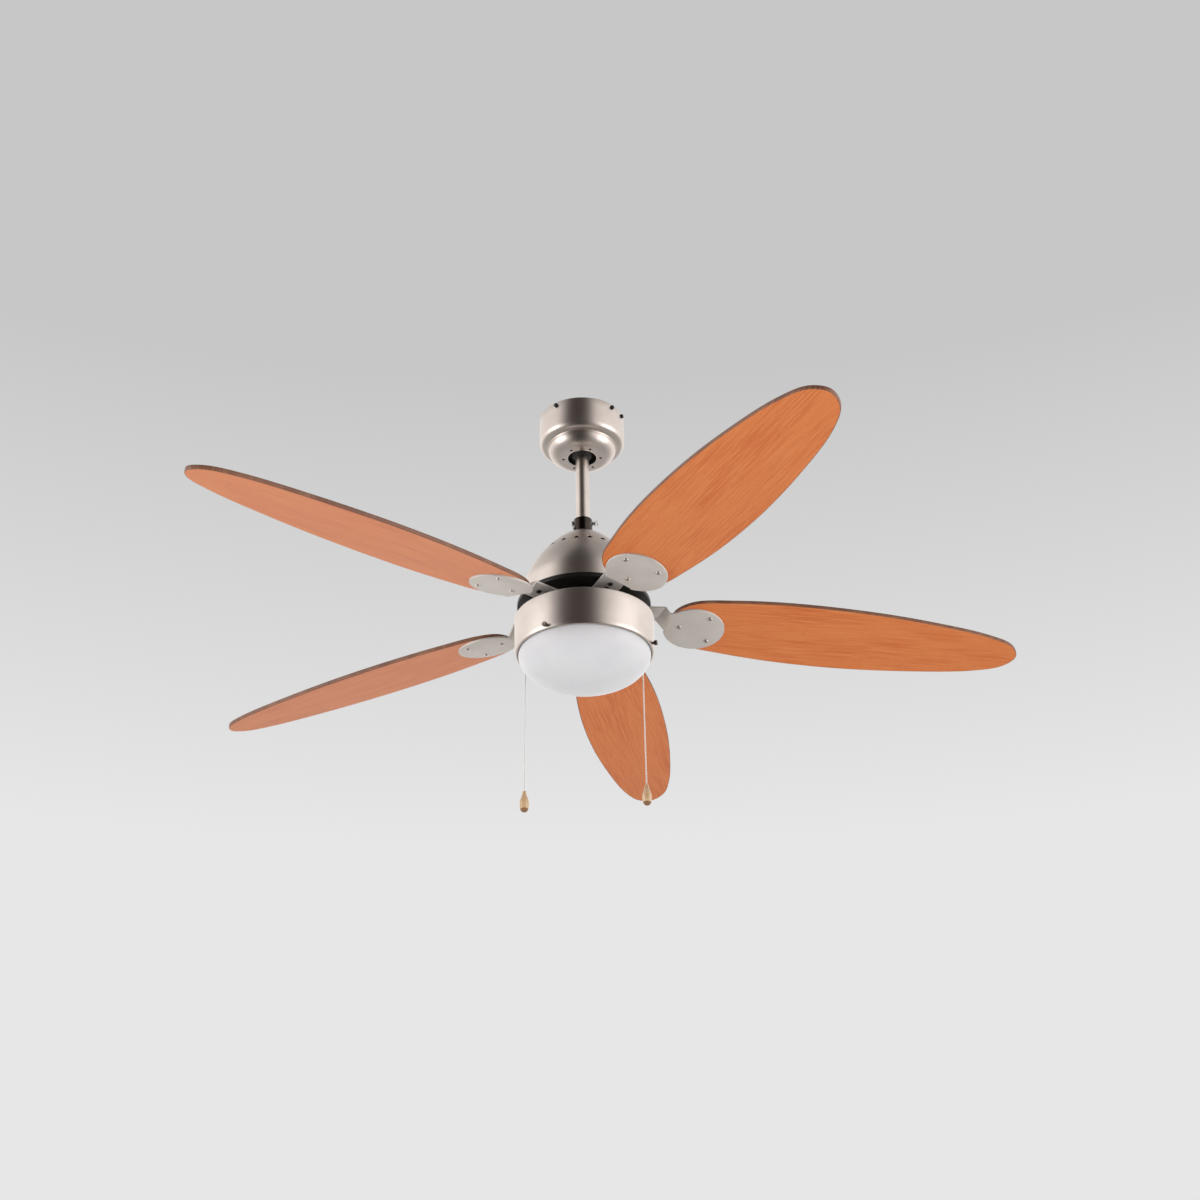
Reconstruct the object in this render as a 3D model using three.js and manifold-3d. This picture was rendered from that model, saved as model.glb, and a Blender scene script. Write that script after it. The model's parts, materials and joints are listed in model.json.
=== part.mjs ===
// Ceiling fan with a light: canopy, down rod, motor, five blades and a glass bowl.
// Millimetres, +Z up. The origin is the middle of the face that meets the ceiling.

import * as THREE from 'three';
import { mergeVertices } from 'three/addons/utils/BufferGeometryUtils.js';
import Module from 'manifold-3d';

const wasm = await Module();
wasm.setup();

// ---- Driving dimensions ----------------------------------------------------

// Clearances
const touchGap = 0.3;          // between faces that meet
const runGap = 0.6;            // round what turns or slides
const sheet = 1.2;             // pressed covers

// Roundness
const bigSides = 36;
const midSides = 20;
const smallSides = 12;

// Ceiling canopy
const canopyRadius = 66.5;
const canopyDepth = 70.2;
const canopyWallDepth = 40;    // straight part under the ceiling
const canopyStep = 51.5;       // depth at which the lower cup begins
const canopyCupRadius = 53.2;
const canopyMouthRadius = 22.2;
const canopyFlatRadius = 35;    // where the cup has turned level
const canopyVentCount = 6;
const canopyFirstVent = 56;
const canopyVentRing = 30;
const canopyVentRadius = 2.3;
const canopyScrewDepth = 6;
const canopyScrewAngles = [-126, -44.5, -20, 140];
const canopyScrewRadius = 2;
const canopyScrewHeadRadius = 3.4;
const canopyScrewHeadHeight = 3;

// Ceiling bracket, a U of steel strip that carries the ball in a split ring
const bracketAngle = -31;      // direction of its long side
const stripThickness = 2.5;
const bracketWidth = 34;
const flapReach = canopyRadius - 5;        // outer face of the flaps that the canopy screws enter
const flapDepth = 16;
const legReach = 32;
const legWidth = 30;
const cradleDepth = 63;        // lower face of the split ring
const cradleHeight = 11;
const cradleOuterRadius = 31;
const slotLength = 12;         // ceiling screw slots
const slotWidth = 5.5;
const slotReach = 46;

// Terminal block
const blockLength = 18;
const blockWidth = 22;
const blockHeight = 13;
const blockReach = 47;

// Hanger ball, its pin and the down rod
const ballDepth = 50;
const ballRadius = 22.5;
const ballTop = 14;            // flat top, above the middle of the ball
const rodRadius = 10.4;
const rodWall = 1.5;
const rodTopDepth = 24;
const ballPinRadius = 3;
const ballPinLength = 40;

// Motor hub: heights are above or below the plane where the blades cross the axis
const bladeDrop = 350;         // ceiling to that plane
const collarRadius = 14.8;
const collarTop = 166;
const collarBottom = 112;
const collarSeat = 141;        // where the rod stops
const collarFlangeRadius = 21;
const collarFlangeHeight = 3;
const clevisPinRadius = 2.6;
const clevisPinHeight = 160;
const clevisPinReach = 18;
const clipWire = 0.9;
const clipLean = -35;           // how far the clip leans round the pin
const collarScrewHeight = 150;
const collarScrewAngle = 205;
const shaftRadius = 8.5;
const shaftBore = 5.5;
const shaftTop = 139;
const shaftBottom = -21;

// Domed motor cover
const domeTop = 138.6;
const domeCrownFall = 1;       // from the hole to the edge of the crown that rests on the collar
const domeRadius = 89;
const domeShoulder = 48;       // height where the side turns straight
const domeBottom = 21.4;
const domeLip = 1.8;
const domeVentCount = 20;
const domeVentRing = 64;
const domeVentHeight = 98.8;
const domeVentRadius = 3.4;
const domeFirstVent = 9;

// Rotor
const flangeRadius = 99.5;
const flangeTop = 19;
const flangeBottom = 11.5;     // underside, which the blade irons are screwed to
const flangeWeb = 3.5;
const flangeRim = 7;
const flangeBossBottom = 2.2;
const bearingRadius = 13;
const bearingHeight = 9;
const bossWall = 4;
const shellRadius = 74;
const shellTop = 98;
const shellShoulder = 64;
const shellWall = 2.5;
const cageWall = 11;
const statorRadius = 58.5;
const statorBottom = 31;
const statorTop = 58;
const windingInner = 27;
const windingOuter = 55;
const windingHeight = 10;

// Switch housing under the blades
const housingRadius = 103.3;
const housingTop = -7.2;
const housingBottom = -65.9;
const housingCorner = 3;
const housingMouth = 70;       // hole in its top
const mountPlateRadius = 80;
const mountPlateThickness = 2;
const nutRadius = 15;
const nutHeight = 7;
const capacitorSize = [42, 18, 26];
const capacitorPlace = [0, -62];

// Blades and blade irons
const bladeCount = 5;
const firstBlade = -66.9;
const bladePitch = 13.1;
const bladeDroop = 2.6;
const bladeThickness = 6;
const bladeRoot = housingRadius + 24.7;
const bladeTip = 663;
const bladeCurveSteps = 46;
const ironThickness = 3;
const plateCentre = [housingRadius + 61.7, 11];
const plateLength = 92;
const plateWidth = 88;
const bladeScrewPlaces = [[-22.5, -3], [21, -26], [22, 24]]
  .map(([x, y]) => [plateCentre[0] + x, plateCentre[1] + y]);
const bladeScrewHole = 2.4;
const ironInner = 66;
const ironWidth = 39;
const ironOffset = 3.5;        // middle of the strip, towards the trailing edge
const upperFold = housingRadius + 12.7;         // where the iron turns down, on the middle of the strip
const upperFoldSkew = -0.3;    // how far the fold runs inwards for each mm towards the trailing edge
const lowerFold = housingRadius + 22;       // where it meets the plane of the plate
const lowerFoldSkew = -0.09;
const foldShift = 1.9;         // inner corner of each fold, from the sheet's thickness
const ironScrewPlaces = [76, 90];

// Pull switches and their chains
const fanChainAngle = 37.6;
const lightChainAngle = 144.5;
const chainReach = housingRadius + 6.7;        // from the axis to the chain
const fanChainLength = 196;
const lightChainLength = 205;
const chainRadius = 1.2;
const chainSides = 8;
const chainStep = 7;
const pullTravel = 12;
const guideRadius = 3.6;
const guideBore = 1.9;
const guideTop = -30;
const guideMouth = guideTop - pullTravel - 4;
const guideBoreTop = guideTop - 2;
const switchReach = 80;
const switchRadius = 15;
const switchHeight = 20;
const switchWall = 2;
const spoolRadius = 6.5;
const spoolHeight = 9;
const fobLength = 31.5;
const fobRadius = 7;

// Light
const panHeight = -46;
const panRim = 5;
const bowlNeckRadius = housingRadius - 7.8;
const bowlRadius = bowlNeckRadius + 1.8;
const bowlNeckTop = -53;
const bowlRim = -66;
const bowlDepth = 48;
const bowlWall = 3;
const lampOffset = 40;
const lampHeight = -74;
const lampRadius = 22;
const lampNeck = 13;
const holderRadius = 15;
const holderLength = 34;
const holderLeg = 10;
const thumbScrewAngles = [238.5, 344, 111];
const thumbScrewHeight = -61.5;
const thumbScrewRadius = 2;
const thumbHeadRadius = 3.6;
const thumbHeadLength = 5;

// ---- Materials ---------------------------------------------------------------

function finish(colour, roughness, metalness) {
  return new THREE.MeshStandardMaterial({ color: colour, roughness, metalness });
}

const nickel = finish(0xb5aaa0, 0.34, 1);
const darkNickel = finish(0x7d746a, 0.25, 1);
const bracketSteel = finish(0x9a9da0, 0.5, 1);
const blackPlastic = finish(0x161514, 0.55, 0);
const blackEnamel = finish(0x15120f, 0.5, 0);
const castAlloy = finish(0x5d5b58, 0.6, 1);
const laminate = finish(0x6c6a6a, 0.55, 1);
const copper = finish(0xb06a3a, 0.4, 1);
const cherryWood = finish(0xc47745, 0.45, 0);
const paleWood = finish(0xd2b48e, 0.5, 0);
const opalGlass = finish(0xe4e4e6, 0.25, 0);
const frostedLamp = finish(0xf4f1ea, 0.3, 0);
const whitePaint = finish(0xe8e6e2, 0.5, 0);
const porcelain = finish(0xeeece6, 0.35, 0);
const nylon = finish(0xdddad2, 0.5, 0);

// ---- Solids ------------------------------------------------------------------

const radians = THREE.MathUtils.degToRad;

// One closed body: shared corners merged, slivers dropped, faces pointing out.
function closed(geometry) {
  const bare = geometry.clone();
  bare.deleteAttribute('normal');
  bare.deleteAttribute('uv');
  const merged = mergeVertices(bare);
  const corner = merged.attributes.position;
  const [a, b, c] = [new THREE.Vector3(), new THREE.Vector3(), new THREE.Vector3()];
  const kept = [];
  let volume = 0;
  for (let i = 0; i < merged.index.count; i += 3) {
    const [p, q, r] = [0, 1, 2].map((k) => merged.index.getX(i + k));
    if (p === q || q === r || r === p) continue;
    kept.push(p, q, r);
    a.fromBufferAttribute(corner, p);
    b.fromBufferAttribute(corner, q);
    c.fromBufferAttribute(corner, r);
    volume += a.dot(b.cross(c));
  }
  if (volume < 0) kept.reverse();
  merged.setIndex(kept);
  return merged;
}

function toSolid(geometry) {
  const body = closed(geometry);
  return new wasm.Manifold(new wasm.Mesh({
    numProp: 3,
    vertProperties: new Float32Array(body.attributes.position.array),
    triVerts: new Uint32Array(body.index.array),
  }));
}

function toGeometry(solid) {
  const { vertProperties, triVerts } = solid.getMesh();
  const geometry = new THREE.BufferGeometry();
  geometry.setAttribute('position', new THREE.BufferAttribute(new Float32Array(vertProperties), 3));
  geometry.setIndex(Array.from(triVerts));
  return geometry;
}

function cut(base, ...tools) {
  const left = tools.reduce((solid, tool) => solid.subtract(toSolid(tool)), toSolid(base));
  return toGeometry(left);
}

function join(first, ...others) {
  const whole = others.reduce((solid, other) => solid.add(toSolid(other)), toSolid(first));
  return toGeometry(whole);
}

// A turned shape. The profile holds [radius, height] points.
function turned(profile, sides) {
  const points = profile.map(([radius, height]) => new THREE.Vector2(radius, height));
  return new THREE.LatheGeometry(points, sides).rotateX(Math.PI / 2);
}

function turnedRing(profile, sides) {
  return turned([...profile, profile[0]], sides);
}

function tube(inner, outer, bottom, top, sides) {
  return turnedRing([[inner, bottom], [outer, bottom], [outer, top], [inner, top]], sides);
}

// A pressed sheet: the outer line of its section, thickened to its left.
function pressed(outline, thickness, sides) {
  const inner = outline.map((point, i) => {
    const before = outline[Math.max(i - 1, 0)];
    const after = outline[Math.min(i + 1, outline.length - 1)];
    const along = new THREE.Vector2().subVectors(after, before).normalize();
    return new THREE.Vector2(point.x + along.y * thickness, point.y - along.x * thickness);
  });
  const loop = [...outline, ...inner.reverse()];
  return turnedRing(loop.map((point) => [point.x, point.y]), sides);
}

function upright(radius, bottom, top, sides = smallSides) {
  const height = top - bottom;
  const geometry = new THREE.CylinderGeometry(radius, radius, height, sides);
  return geometry.rotateX(Math.PI / 2).translate(0, 0, bottom + height / 2);
}

// A round bar along +X.
function bar(radius, from, to, sides = smallSides) {
  const geometry = new THREE.CylinderGeometry(radius, radius, to - from, sides);
  return geometry.rotateZ(-Math.PI / 2).translate((from + to) / 2, 0, 0);
}

function block([x0, x1], [y0, y1], [z0, z1]) {
  const geometry = new THREE.BoxGeometry(x1 - x0, y1 - y0, z1 - z0);
  return geometry.translate((x0 + x1) / 2, (y0 + y1) / 2, (z0 + z1) / 2);
}

function around(geometry, degrees) {
  return geometry.rotateZ(radians(degrees));
}

function ringOf(count, first, make) {
  return Array.from({ length: count }, (_, i) => around(make(), first + (360 * i) / count));
}

function add(group, name, geometry, material) {
  const mesh = new THREE.Mesh(closed(geometry), material);
  mesh.name = name;
  group.add(mesh);
  return mesh;
}

function subGroup(parent, { z = 0, turn = 0 } = {}) {
  const group = new THREE.Group();
  group.position.z = z;
  group.rotation.z = radians(turn);
  parent.add(group);
  return group;
}

// ---- At the ceiling ------------------------------------------------------------

function canopy() {
  const line = new THREE.Path();
  line.moveTo(canopyRadius, 0);
  line.lineTo(canopyRadius, -canopyWallDepth);
  line.quadraticCurveTo(canopyRadius, -canopyStep + 1.5, canopyCupRadius + 5, -canopyStep + 1);
  line.lineTo(canopyCupRadius + 0.8, -canopyStep);
  line.lineTo(canopyCupRadius, -canopyStep - 1.5);
  line.bezierCurveTo(
    canopyCupRadius, -canopyStep - 11,
    canopyCupRadius - 10, -canopyDepth,
    canopyFlatRadius, -canopyDepth,
  );
  line.lineTo(canopyMouthRadius, -canopyDepth);
  const shell = pressed(line.getPoints(3), sheet, bigSides);
  const vent = () => upright(canopyVentRadius, -canopyDepth - 2, -canopyDepth + 5, 6)
    .translate(canopyVentRing, 0, 0);
  const screwHoles = canopyScrewAngles.map((angle) => around(
    bar(canopyScrewRadius + touchGap, canopyRadius - 5, canopyRadius + 5).translate(0, 0, -canopyScrewDepth),
    angle,
  ));
  return cut(shell, ...ringOf(canopyVentCount, canopyFirstVent, vent), ...screwHoles);
}

function ceilingBracket() {
  const halfWidth = bracketWidth / 2;
  const plate = block([-flapReach, flapReach], [-halfWidth, halfWidth], [-stripThickness, 0]);
  const sides = [-1, 1].flatMap((side) => {
    const flap = block([0, stripThickness], [-halfWidth, halfWidth], [-flapDepth, 0])
      .translate(side > 0 ? flapReach - stripThickness : -flapReach, 0, 0);
    const leg = block([0, stripThickness], [-legWidth / 2, legWidth / 2], [-cradleDepth + 1, 0])
      .translate(side > 0 ? legReach - stripThickness : -legReach, 0, 0);
    return [flap, leg];
  });
  const ring = upright(cradleOuterRadius, -cradleDepth, -cradleDepth + cradleHeight, midSides);
  const ballRoom = new THREE.SphereGeometry(ballRadius + runGap, midSides, 14)
    .rotateX(Math.PI / 2)
    .translate(0, 0, -ballDepth);
  const seatAngle = Math.acos((cradleDepth - ballDepth - 1) / (ballRadius + runGap));
  const mouthRadius = (ballRadius + runGap) * Math.sin(seatAngle);
  const mouth = upright(mouthRadius - 2, -cradleDepth - 5, -cradleDepth + 5, midSides);
  const rodWay = block([-rodRadius - 1.5, rodRadius + 1.5], [0, cradleOuterRadius + 5],
    [-cradleDepth - 1, -cradleDepth + cradleHeight + 1]);
  const slots = [-1, 1].map((side) => block(
    [side * slotReach - slotLength / 2, side * slotReach + slotLength / 2],
    [halfWidth - 6 - slotWidth, halfWidth - 6],
    [-stripThickness - 1, 1],
  ));
  const screwHoles = canopyScrewAngles.map((angle) => around(
    bar(canopyScrewRadius + touchGap, flapReach - 8, canopyRadius + 5).translate(0, 0, -canopyScrewDepth),
    angle - bracketAngle,
  ));
  const blank = join(plate, ...sides, ring);
  return cut(blank, ballRoom, mouth, rodWay, ...slots, ...screwHoles);
}

function canopyScrew() {
  const shank = bar(canopyScrewRadius, canopyRadius - 8, canopyRadius + 1);
  const headFrom = canopyRadius + touchGap;
  const head = bar(canopyScrewHeadRadius, headFrom, headFrom + canopyScrewHeadHeight);
  return join(shank, head).translate(0, 0, -canopyScrewDepth);
}

function terminalBlock() {
  const top = -stripThickness - touchGap;
  const body = block(
    [-blockLength / 2, blockLength / 2], [-blockWidth / 2, blockWidth / 2], [top - blockHeight, top]);
  const wireHole = () => bar(1.8, -blockLength, blockLength, 8).translate(0, 0, top - blockHeight * 0.6);
  const pitch = blockWidth / 3;
  const holes = [-1, 0, 1].map((i) => wireHole().translate(0, i * pitch, 0));
  return cut(body, ...holes);
}

// ---- What hangs from the ball ----------------------------------------------------

function hangerBall() {
  const ball = new THREE.SphereGeometry(ballRadius, midSides, 14).rotateX(Math.PI / 2);
  const above = block([-30, 30], [-30, 30], [ballTop, 40]);
  const bore = upright(rodRadius + touchGap, -40, 40, midSides);
  const groove = block(
    [-30, 30], [-ballPinRadius - touchGap, ballPinRadius + touchGap],
    [ballTop - ballPinRadius - touchGap, 40]);
  return cut(ball, above, bore, groove);
}

function downRod() {
  const top = bladeDrop - rodTopDepth;
  const rod = tube(rodRadius - rodWall, rodRadius, collarSeat + 1, top, midSides);
  const ballPinHole = around(
    bar(ballPinRadius + touchGap, -20, 20).translate(0, 0, bladeDrop - ballDepth + ballTop), bracketAngle);
  const clevisHole = bar(clevisPinRadius + touchGap, -20, 20).translate(0, 0, clevisPinHeight);
  return cut(rod, ballPinHole, clevisHole);
}

function yokeCollar() {
  const bore = rodRadius + touchGap;
  const shaftHole = shaftRadius + touchGap;
  const flangeTopHeight = domeTop - domeCrownFall - sheet - touchGap;
  const body = turnedRing([
    [shaftHole, collarBottom], [collarRadius, collarBottom],
    [collarRadius, flangeTopHeight - collarFlangeHeight],
    [collarFlangeRadius, flangeTopHeight - collarFlangeHeight],
    [collarFlangeRadius, flangeTopHeight], [collarRadius, flangeTopHeight],
    [collarRadius, collarTop - 1.5], [collarRadius - 1.5, collarTop],
    [bore, collarTop], [bore, collarSeat], [shaftHole, collarSeat],
  ], midSides);
  const pinHole = bar(clevisPinRadius + touchGap, -20, 20).translate(0, 0, clevisPinHeight);
  const screwHole = around(bar(2.5 + touchGap, 5, 20).translate(0, 0, collarScrewHeight), collarScrewAngle);
  return cut(body, pinHole, screwHole);
}

function clevisPin() {
  const head = bar(clevisPinRadius + 1.8, -collarRadius - 3, -collarRadius - touchGap);
  const shank = bar(clevisPinRadius, -collarRadius - 2, clevisPinReach + 2);
  const clipHole = upright(clipWire + touchGap, -10, 10, 8).translate(clevisPinReach, 0, 0);
  return cut(join(head, shank), clipHole);
}

// A spring-wire clip: one leg through the pin, one bowed leg round the outside of it.
function clevisClip() {
  const bow = clevisPinRadius + clipWire + 0.8;
  const route = new THREE.CatmullRomCurve3([
    [0, 0, -7], [0, 0, 0], [0, 0, 6], [0.6, 0, 9], [2.6, 0, 10.4], [4.4, 0, 8.6],
    [bow - 0.6, 0, 5], [bow, 0, 1], [bow - 0.4, 0, -3], [bow + 1.4, 0, -6.5],
  ].map((p) => new THREE.Vector3(...p)));
  const section = new THREE.Shape().absarc(0, 0, clipWire, 0, 2 * Math.PI);
  return new THREE.ExtrudeGeometry(section, { extrudePath: route, steps: 22, curveSegments: 3 });
}

function collarScrew() {
  const tip = rodRadius + touchGap * 2;
  return join(bar(2.5, tip, collarRadius + 2), bar(3.4, collarRadius + touchGap, collarRadius + 3, 6));
}

// ---- Motor -------------------------------------------------------------------------

function motorShaft() {
  return tube(shaftBore, shaftRadius, shaftBottom, shaftTop, midSides);
}

function bearing(bottom) {
  return tube(shaftRadius + touchGap, bearingRadius, bottom, bottom + bearingHeight, midSides);
}

function rotorShell() {
  const boss = bearingRadius + touchGap;
  const foot = flangeBottom + flangeWeb + touchGap;
  const line = new THREE.Path();
  line.moveTo(boss + bossWall, shellTop);
  line.lineTo(boss + bossWall + 14, shellTop - 2);
  line.bezierCurveTo(56, shellTop - 7, shellRadius, shellTop - 18, shellRadius, shellShoulder);
  line.lineTo(shellRadius, foot);
  const cover = pressed(line.getPoints(3), shellWall, midSides);
  const bossRing = tube(boss, boss + bossWall + 1, shellTop - bearingHeight - 4, shellTop, midSides);
  const stop = tube(shaftRadius + 2, boss + 1, shellTop - 1.5, shellTop, midSides);
  return join(cover, bossRing, stop);
}

function rotorFlange() {
  const boss = bearingRadius + touchGap;
  const webTop = flangeBottom + flangeWeb;
  const rimInner = flangeRadius - flangeRim;
  const stop = shaftRadius + 2;
  return turnedRing([
    [stop, flangeBossBottom], [boss + bossWall, flangeBossBottom], [boss + bossWall, flangeBottom],
    [flangeRadius - 1.2, flangeBottom], [flangeRadius, flangeBottom + 1.2],
    [flangeRadius, flangeTop - 1.5], [flangeRadius - 1.5, flangeTop], [rimInner, flangeTop],
    [rimInner - 3, webTop], [boss, webTop], [boss, flangeBossBottom + 1.2], [stop, flangeBossBottom + 1.2],
  ], bigSides);
}

function rotorCage() {
  const outer = shellRadius - shellWall - touchGap;
  return tube(outer - cageWall, outer, statorBottom - 1, statorTop + 1, midSides);
}

function statorCore() {
  return tube(shaftRadius + touchGap, statorRadius, statorBottom, statorTop, midSides);
}

function winding(bottom) {
  return tube(windingInner, windingOuter, bottom, bottom + windingHeight, midSides);
}

function domeCover() {
  const line = new THREE.Path();
  line.moveTo(collarRadius + runGap, domeTop);
  line.lineTo(collarFlangeRadius + 1, domeTop - domeCrownFall);
  line.bezierCurveTo(48, domeTop - 14.6, domeRadius - 5, domeShoulder + 32, domeRadius, domeShoulder);
  line.lineTo(domeRadius, domeBottom + 3);
  line.lineTo(domeRadius + domeLip, domeBottom);
  const shell = pressed(line.getPoints(6), sheet, bigSides);
  const vent = () => bar(domeVentRadius, -8, 8, 6)
    .rotateY(-Math.PI / 4)
    .translate(domeVentRing, 0, domeVentHeight);
  return cut(shell, ...ringOf(domeVentCount, domeFirstVent, vent));
}

// ---- Blades ------------------------------------------------------------------------

// Outline of a blade: x runs out along it from the axis, y runs towards its trailing edge.
function bladeOutline() {
  const out = (share) => bladeRoot + share * (bladeTip - bladeRoot);
  const points = [
    [out(0), 8], [out(0.013), -22], [out(0.06), -42], [out(0.17), -50.5], [out(0.33), -53.6],
    [out(0.55), -47], [out(0.73), -34], [out(0.9), -14.5], [out(0.978), 4], [out(1), 27],
    [out(0.972), 50], [out(0.89), 66], [out(0.7), 78], [out(0.5), 81.8], [out(0.31), 76.5],
    [out(0.15), 64.5], [out(0.06), 54], [out(0.013), 37],
  ];
  const loop = new THREE.CatmullRomCurve3(points.map(([x, y]) => new THREE.Vector3(x, y, 0)), true);
  return loop.getPoints(bladeCurveSteps).slice(0, -1).map((p) => new THREE.Vector2(p.x, p.y));
}

function screwHole([x, y], radius) {
  return new THREE.Path().absarc(x, y, radius, 0, 2 * Math.PI, true);
}

function bladeBoard() {
  const shape = new THREE.Shape(bladeOutline());
  shape.holes = bladeScrewPlaces.map((place) => screwHole(place, bladeScrewHole));
  return new THREE.ExtrudeGeometry(shape, { depth: bladeThickness, bevelEnabled: false, curveSegments: 3 })
    .translate(0, 0, touchGap);
}

function pitchPlane() {
  return new THREE.Euler(-radians(bladePitch), radians(bladeDroop), 0, 'YXZ');
}

// The iron's neck: level under the rotor, then down a steep web to the plane of the plate.
function ironNeck() {
  const stations = [
    { fold: () => ironInner, tilted: false, lowShift: 0, highShift: 0 },
    { fold: (y) => upperFold + upperFoldSkew * y, tilted: false, lowShift: -foldShift, highShift: 0 },
    { fold: (y) => lowerFold + lowerFoldSkew * y, tilted: true, lowShift: 0, highShift: foldShift },
    { fold: (y) => lowerFold + 12 + lowerFoldSkew * y, tilted: true, lowShift: 0, highShift: 0 },
  ];
  const last = stations.length - 1;
  const strip = new THREE.BoxGeometry(last, ironWidth, ironThickness, last, 1, 1)
    .translate(last / 2, 0, -ironThickness / 2);
  const corner = strip.attributes.position;
  const point = new THREE.Vector3();
  for (let i = 0; i < corner.count; i += 1) {
    point.fromBufferAttribute(corner, i);
    const station = stations[Math.round(point.x)];
    const isLow = point.z < -ironThickness / 2;
    point.x = station.fold(point.y) + (isLow ? station.lowShift : station.highShift);
    if (station.tilted) {
      point.applyEuler(pitchPlane());
    } else {
      point.y += ironOffset;
      point.z += flangeBottom - touchGap;
    }
    corner.setXYZ(i, point.x, point.y, point.z);
  }
  return strip;
}

function bladeIron() {
  const [x, y] = plateCentre;
  const oval = new THREE.Shape().absellipse(x, y, plateLength / 2, plateWidth / 2, 0, 2 * Math.PI);
  const plate = new THREE.ExtrudeGeometry(oval, { depth: ironThickness, bevelEnabled: false, curveSegments: 14 })
    .translate(0, 0, -ironThickness);
  const bladeHoles = bladeScrewPlaces.map(([sx, sy]) => upright(bladeScrewHole, -10, 10, 6).translate(sx, sy, 0));
  const turn = new THREE.Matrix4().makeRotationFromEuler(pitchPlane());
  [plate, ...bladeHoles].forEach((geometry) => geometry.applyMatrix4(turn));
  const rotorHoles = ironScrewPlaces.map((sx) => upright(bladeScrewHole, 0, 20, 6).translate(sx, ironOffset, 0));
  return cut(join(plate, ironNeck()), ...bladeHoles, ...rotorHoles);
}

// ---- Switch housing ------------------------------------------------------------------

function switchHousing() {
  const line = new THREE.Path();
  line.moveTo(housingMouth, housingTop);
  line.lineTo(housingRadius - housingCorner, housingTop);
  line.quadraticCurveTo(housingRadius, housingTop, housingRadius, housingTop - housingCorner);
  line.lineTo(housingRadius, housingBottom);
  const shell = pressed(line.getPoints(2), sheet, bigSides);
  const side = (radius, height, angle) => around(
    bar(radius, housingRadius - 6, housingRadius + 6).translate(0, 0, height), angle);
  const guideHoles = [fanChainAngle, lightChainAngle].map(
    (angle) => side(guideRadius + touchGap, guideTop - guideRadius, angle));
  const thumbHoles = thumbScrewAngles.map(
    (angle) => side(thumbScrewRadius + touchGap, thumbScrewHeight, angle));
  return cut(shell, ...guideHoles, ...thumbHoles);
}

function mountPlate() {
  const top = housingTop - sheet - touchGap;
  return tube(shaftRadius + touchGap, mountPlateRadius, top - mountPlateThickness, top, midSides);
}

function shaftNut() {
  const top = housingTop - sheet - mountPlateThickness - touchGap * 2;
  const body = upright(nutRadius, top - nutHeight, top, 6);
  return cut(body, upright(shaftRadius + touchGap, top - nutHeight - 5, top + 5, midSides));
}

function capacitor() {
  const [length, width, height] = capacitorSize;
  const top = housingTop - sheet - mountPlateThickness - touchGap * 2;
  const shape = new THREE.Shape();
  const corner = 3;
  shape.moveTo(-length / 2 + corner, -width / 2);
  shape.absarc(length / 2 - corner, -width / 2 + corner, corner, -Math.PI / 2, 0);
  shape.absarc(length / 2 - corner, width / 2 - corner, corner, 0, Math.PI / 2);
  shape.absarc(-length / 2 + corner, width / 2 - corner, corner, Math.PI / 2, Math.PI);
  shape.absarc(-length / 2 + corner, -width / 2 + corner, corner, Math.PI, Math.PI * 1.5);
  return new THREE.ExtrudeGeometry(shape, { depth: height, bevelEnabled: false, curveSegments: 3 })
    .translate(capacitorPlace[0], capacitorPlace[1], top - height);
}

// ---- One pull switch with its chain ------------------------------------------------------

const switchTop = guideTop + 6;
const switchFloor = switchTop - switchHeight;

// A cup with its open side up, and a post that the spool turns on.
function switchCup() {
  const cup = turned([
    [0, switchFloor], [switchRadius, switchFloor], [switchRadius, switchTop],
    [switchRadius - switchWall, switchTop], [switchRadius - switchWall, switchFloor + switchWall],
    [2, switchFloor + switchWall], [2, switchTop - 3], [0, switchTop - 3],
  ], 16);
  const chainWay = bar(1.9, 5, 20, 8).translate(0, 0, guideTop - guideRadius);
  return cut(cup, chainWay);
}

function switchSpool() {
  const middle = guideTop - guideRadius;
  const bottom = middle - spoolHeight / 2;
  const top = middle + spoolHeight / 2;
  const drum = turnedRing([
    [2 + runGap, bottom], [spoolRadius + 2, bottom], [spoolRadius + 2, bottom + 1.5],
    [spoolRadius, bottom + 3], [spoolRadius, top - 3], [spoolRadius + 2, top - 1.5],
    [spoolRadius + 2, top], [2 + runGap, top],
  ], 16);
  const keyway = block([2, 5], [-1, 1], [top - 2.5, top + 1]);
  return cut(drum, keyway);
}

// An elbow: level through the wall of the housing, then down to the chain's mouth.
function chainGuide() {
  const level = bar(guideRadius, -chainReach + switchReach + switchRadius + touchGap, 0)
    .translate(0, 0, guideTop - guideRadius);
  const down = upright(guideRadius, guideMouth, guideTop);
  const collar = bar(guideRadius + 1.6, housingRadius - chainReach + touchGap, housingRadius - chainReach + 2)
    .translate(0, 0, guideTop - guideRadius);
  const bore = upright(guideBore, guideMouth - 5, guideBoreTop, 8);
  const lip = upright(guideBore + 0.8, guideMouth - 5, guideMouth + 0.8, 8);
  return cut(join(level, down, collar), bore, lip);
}

function straightChain(from, to) {
  const route = new THREE.LineCurve3(new THREE.Vector3(0, 0, from), new THREE.Vector3(0, 0, to));
  const section = new THREE.Shape().absarc(0, 0, chainRadius, 0, 2 * Math.PI);
  const steps = Math.max(1, Math.round(Math.abs(to - from) / chainStep));
  return new THREE.ExtrudeGeometry(section, { extrudePath: route, steps, curveSegments: chainSides / 2 });
}

// The swinging length. Its top bead is centred where it swings, at the mouth of the guide.
function hangingChain(length) {
  const bead = new THREE.SphereGeometry(chainRadius, chainSides, 6)
    .rotateX(Math.PI / 2)
    .translate(0, 0, guideMouth);
  return join(straightChain(guideMouth, guideMouth - length), bead);
}

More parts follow.
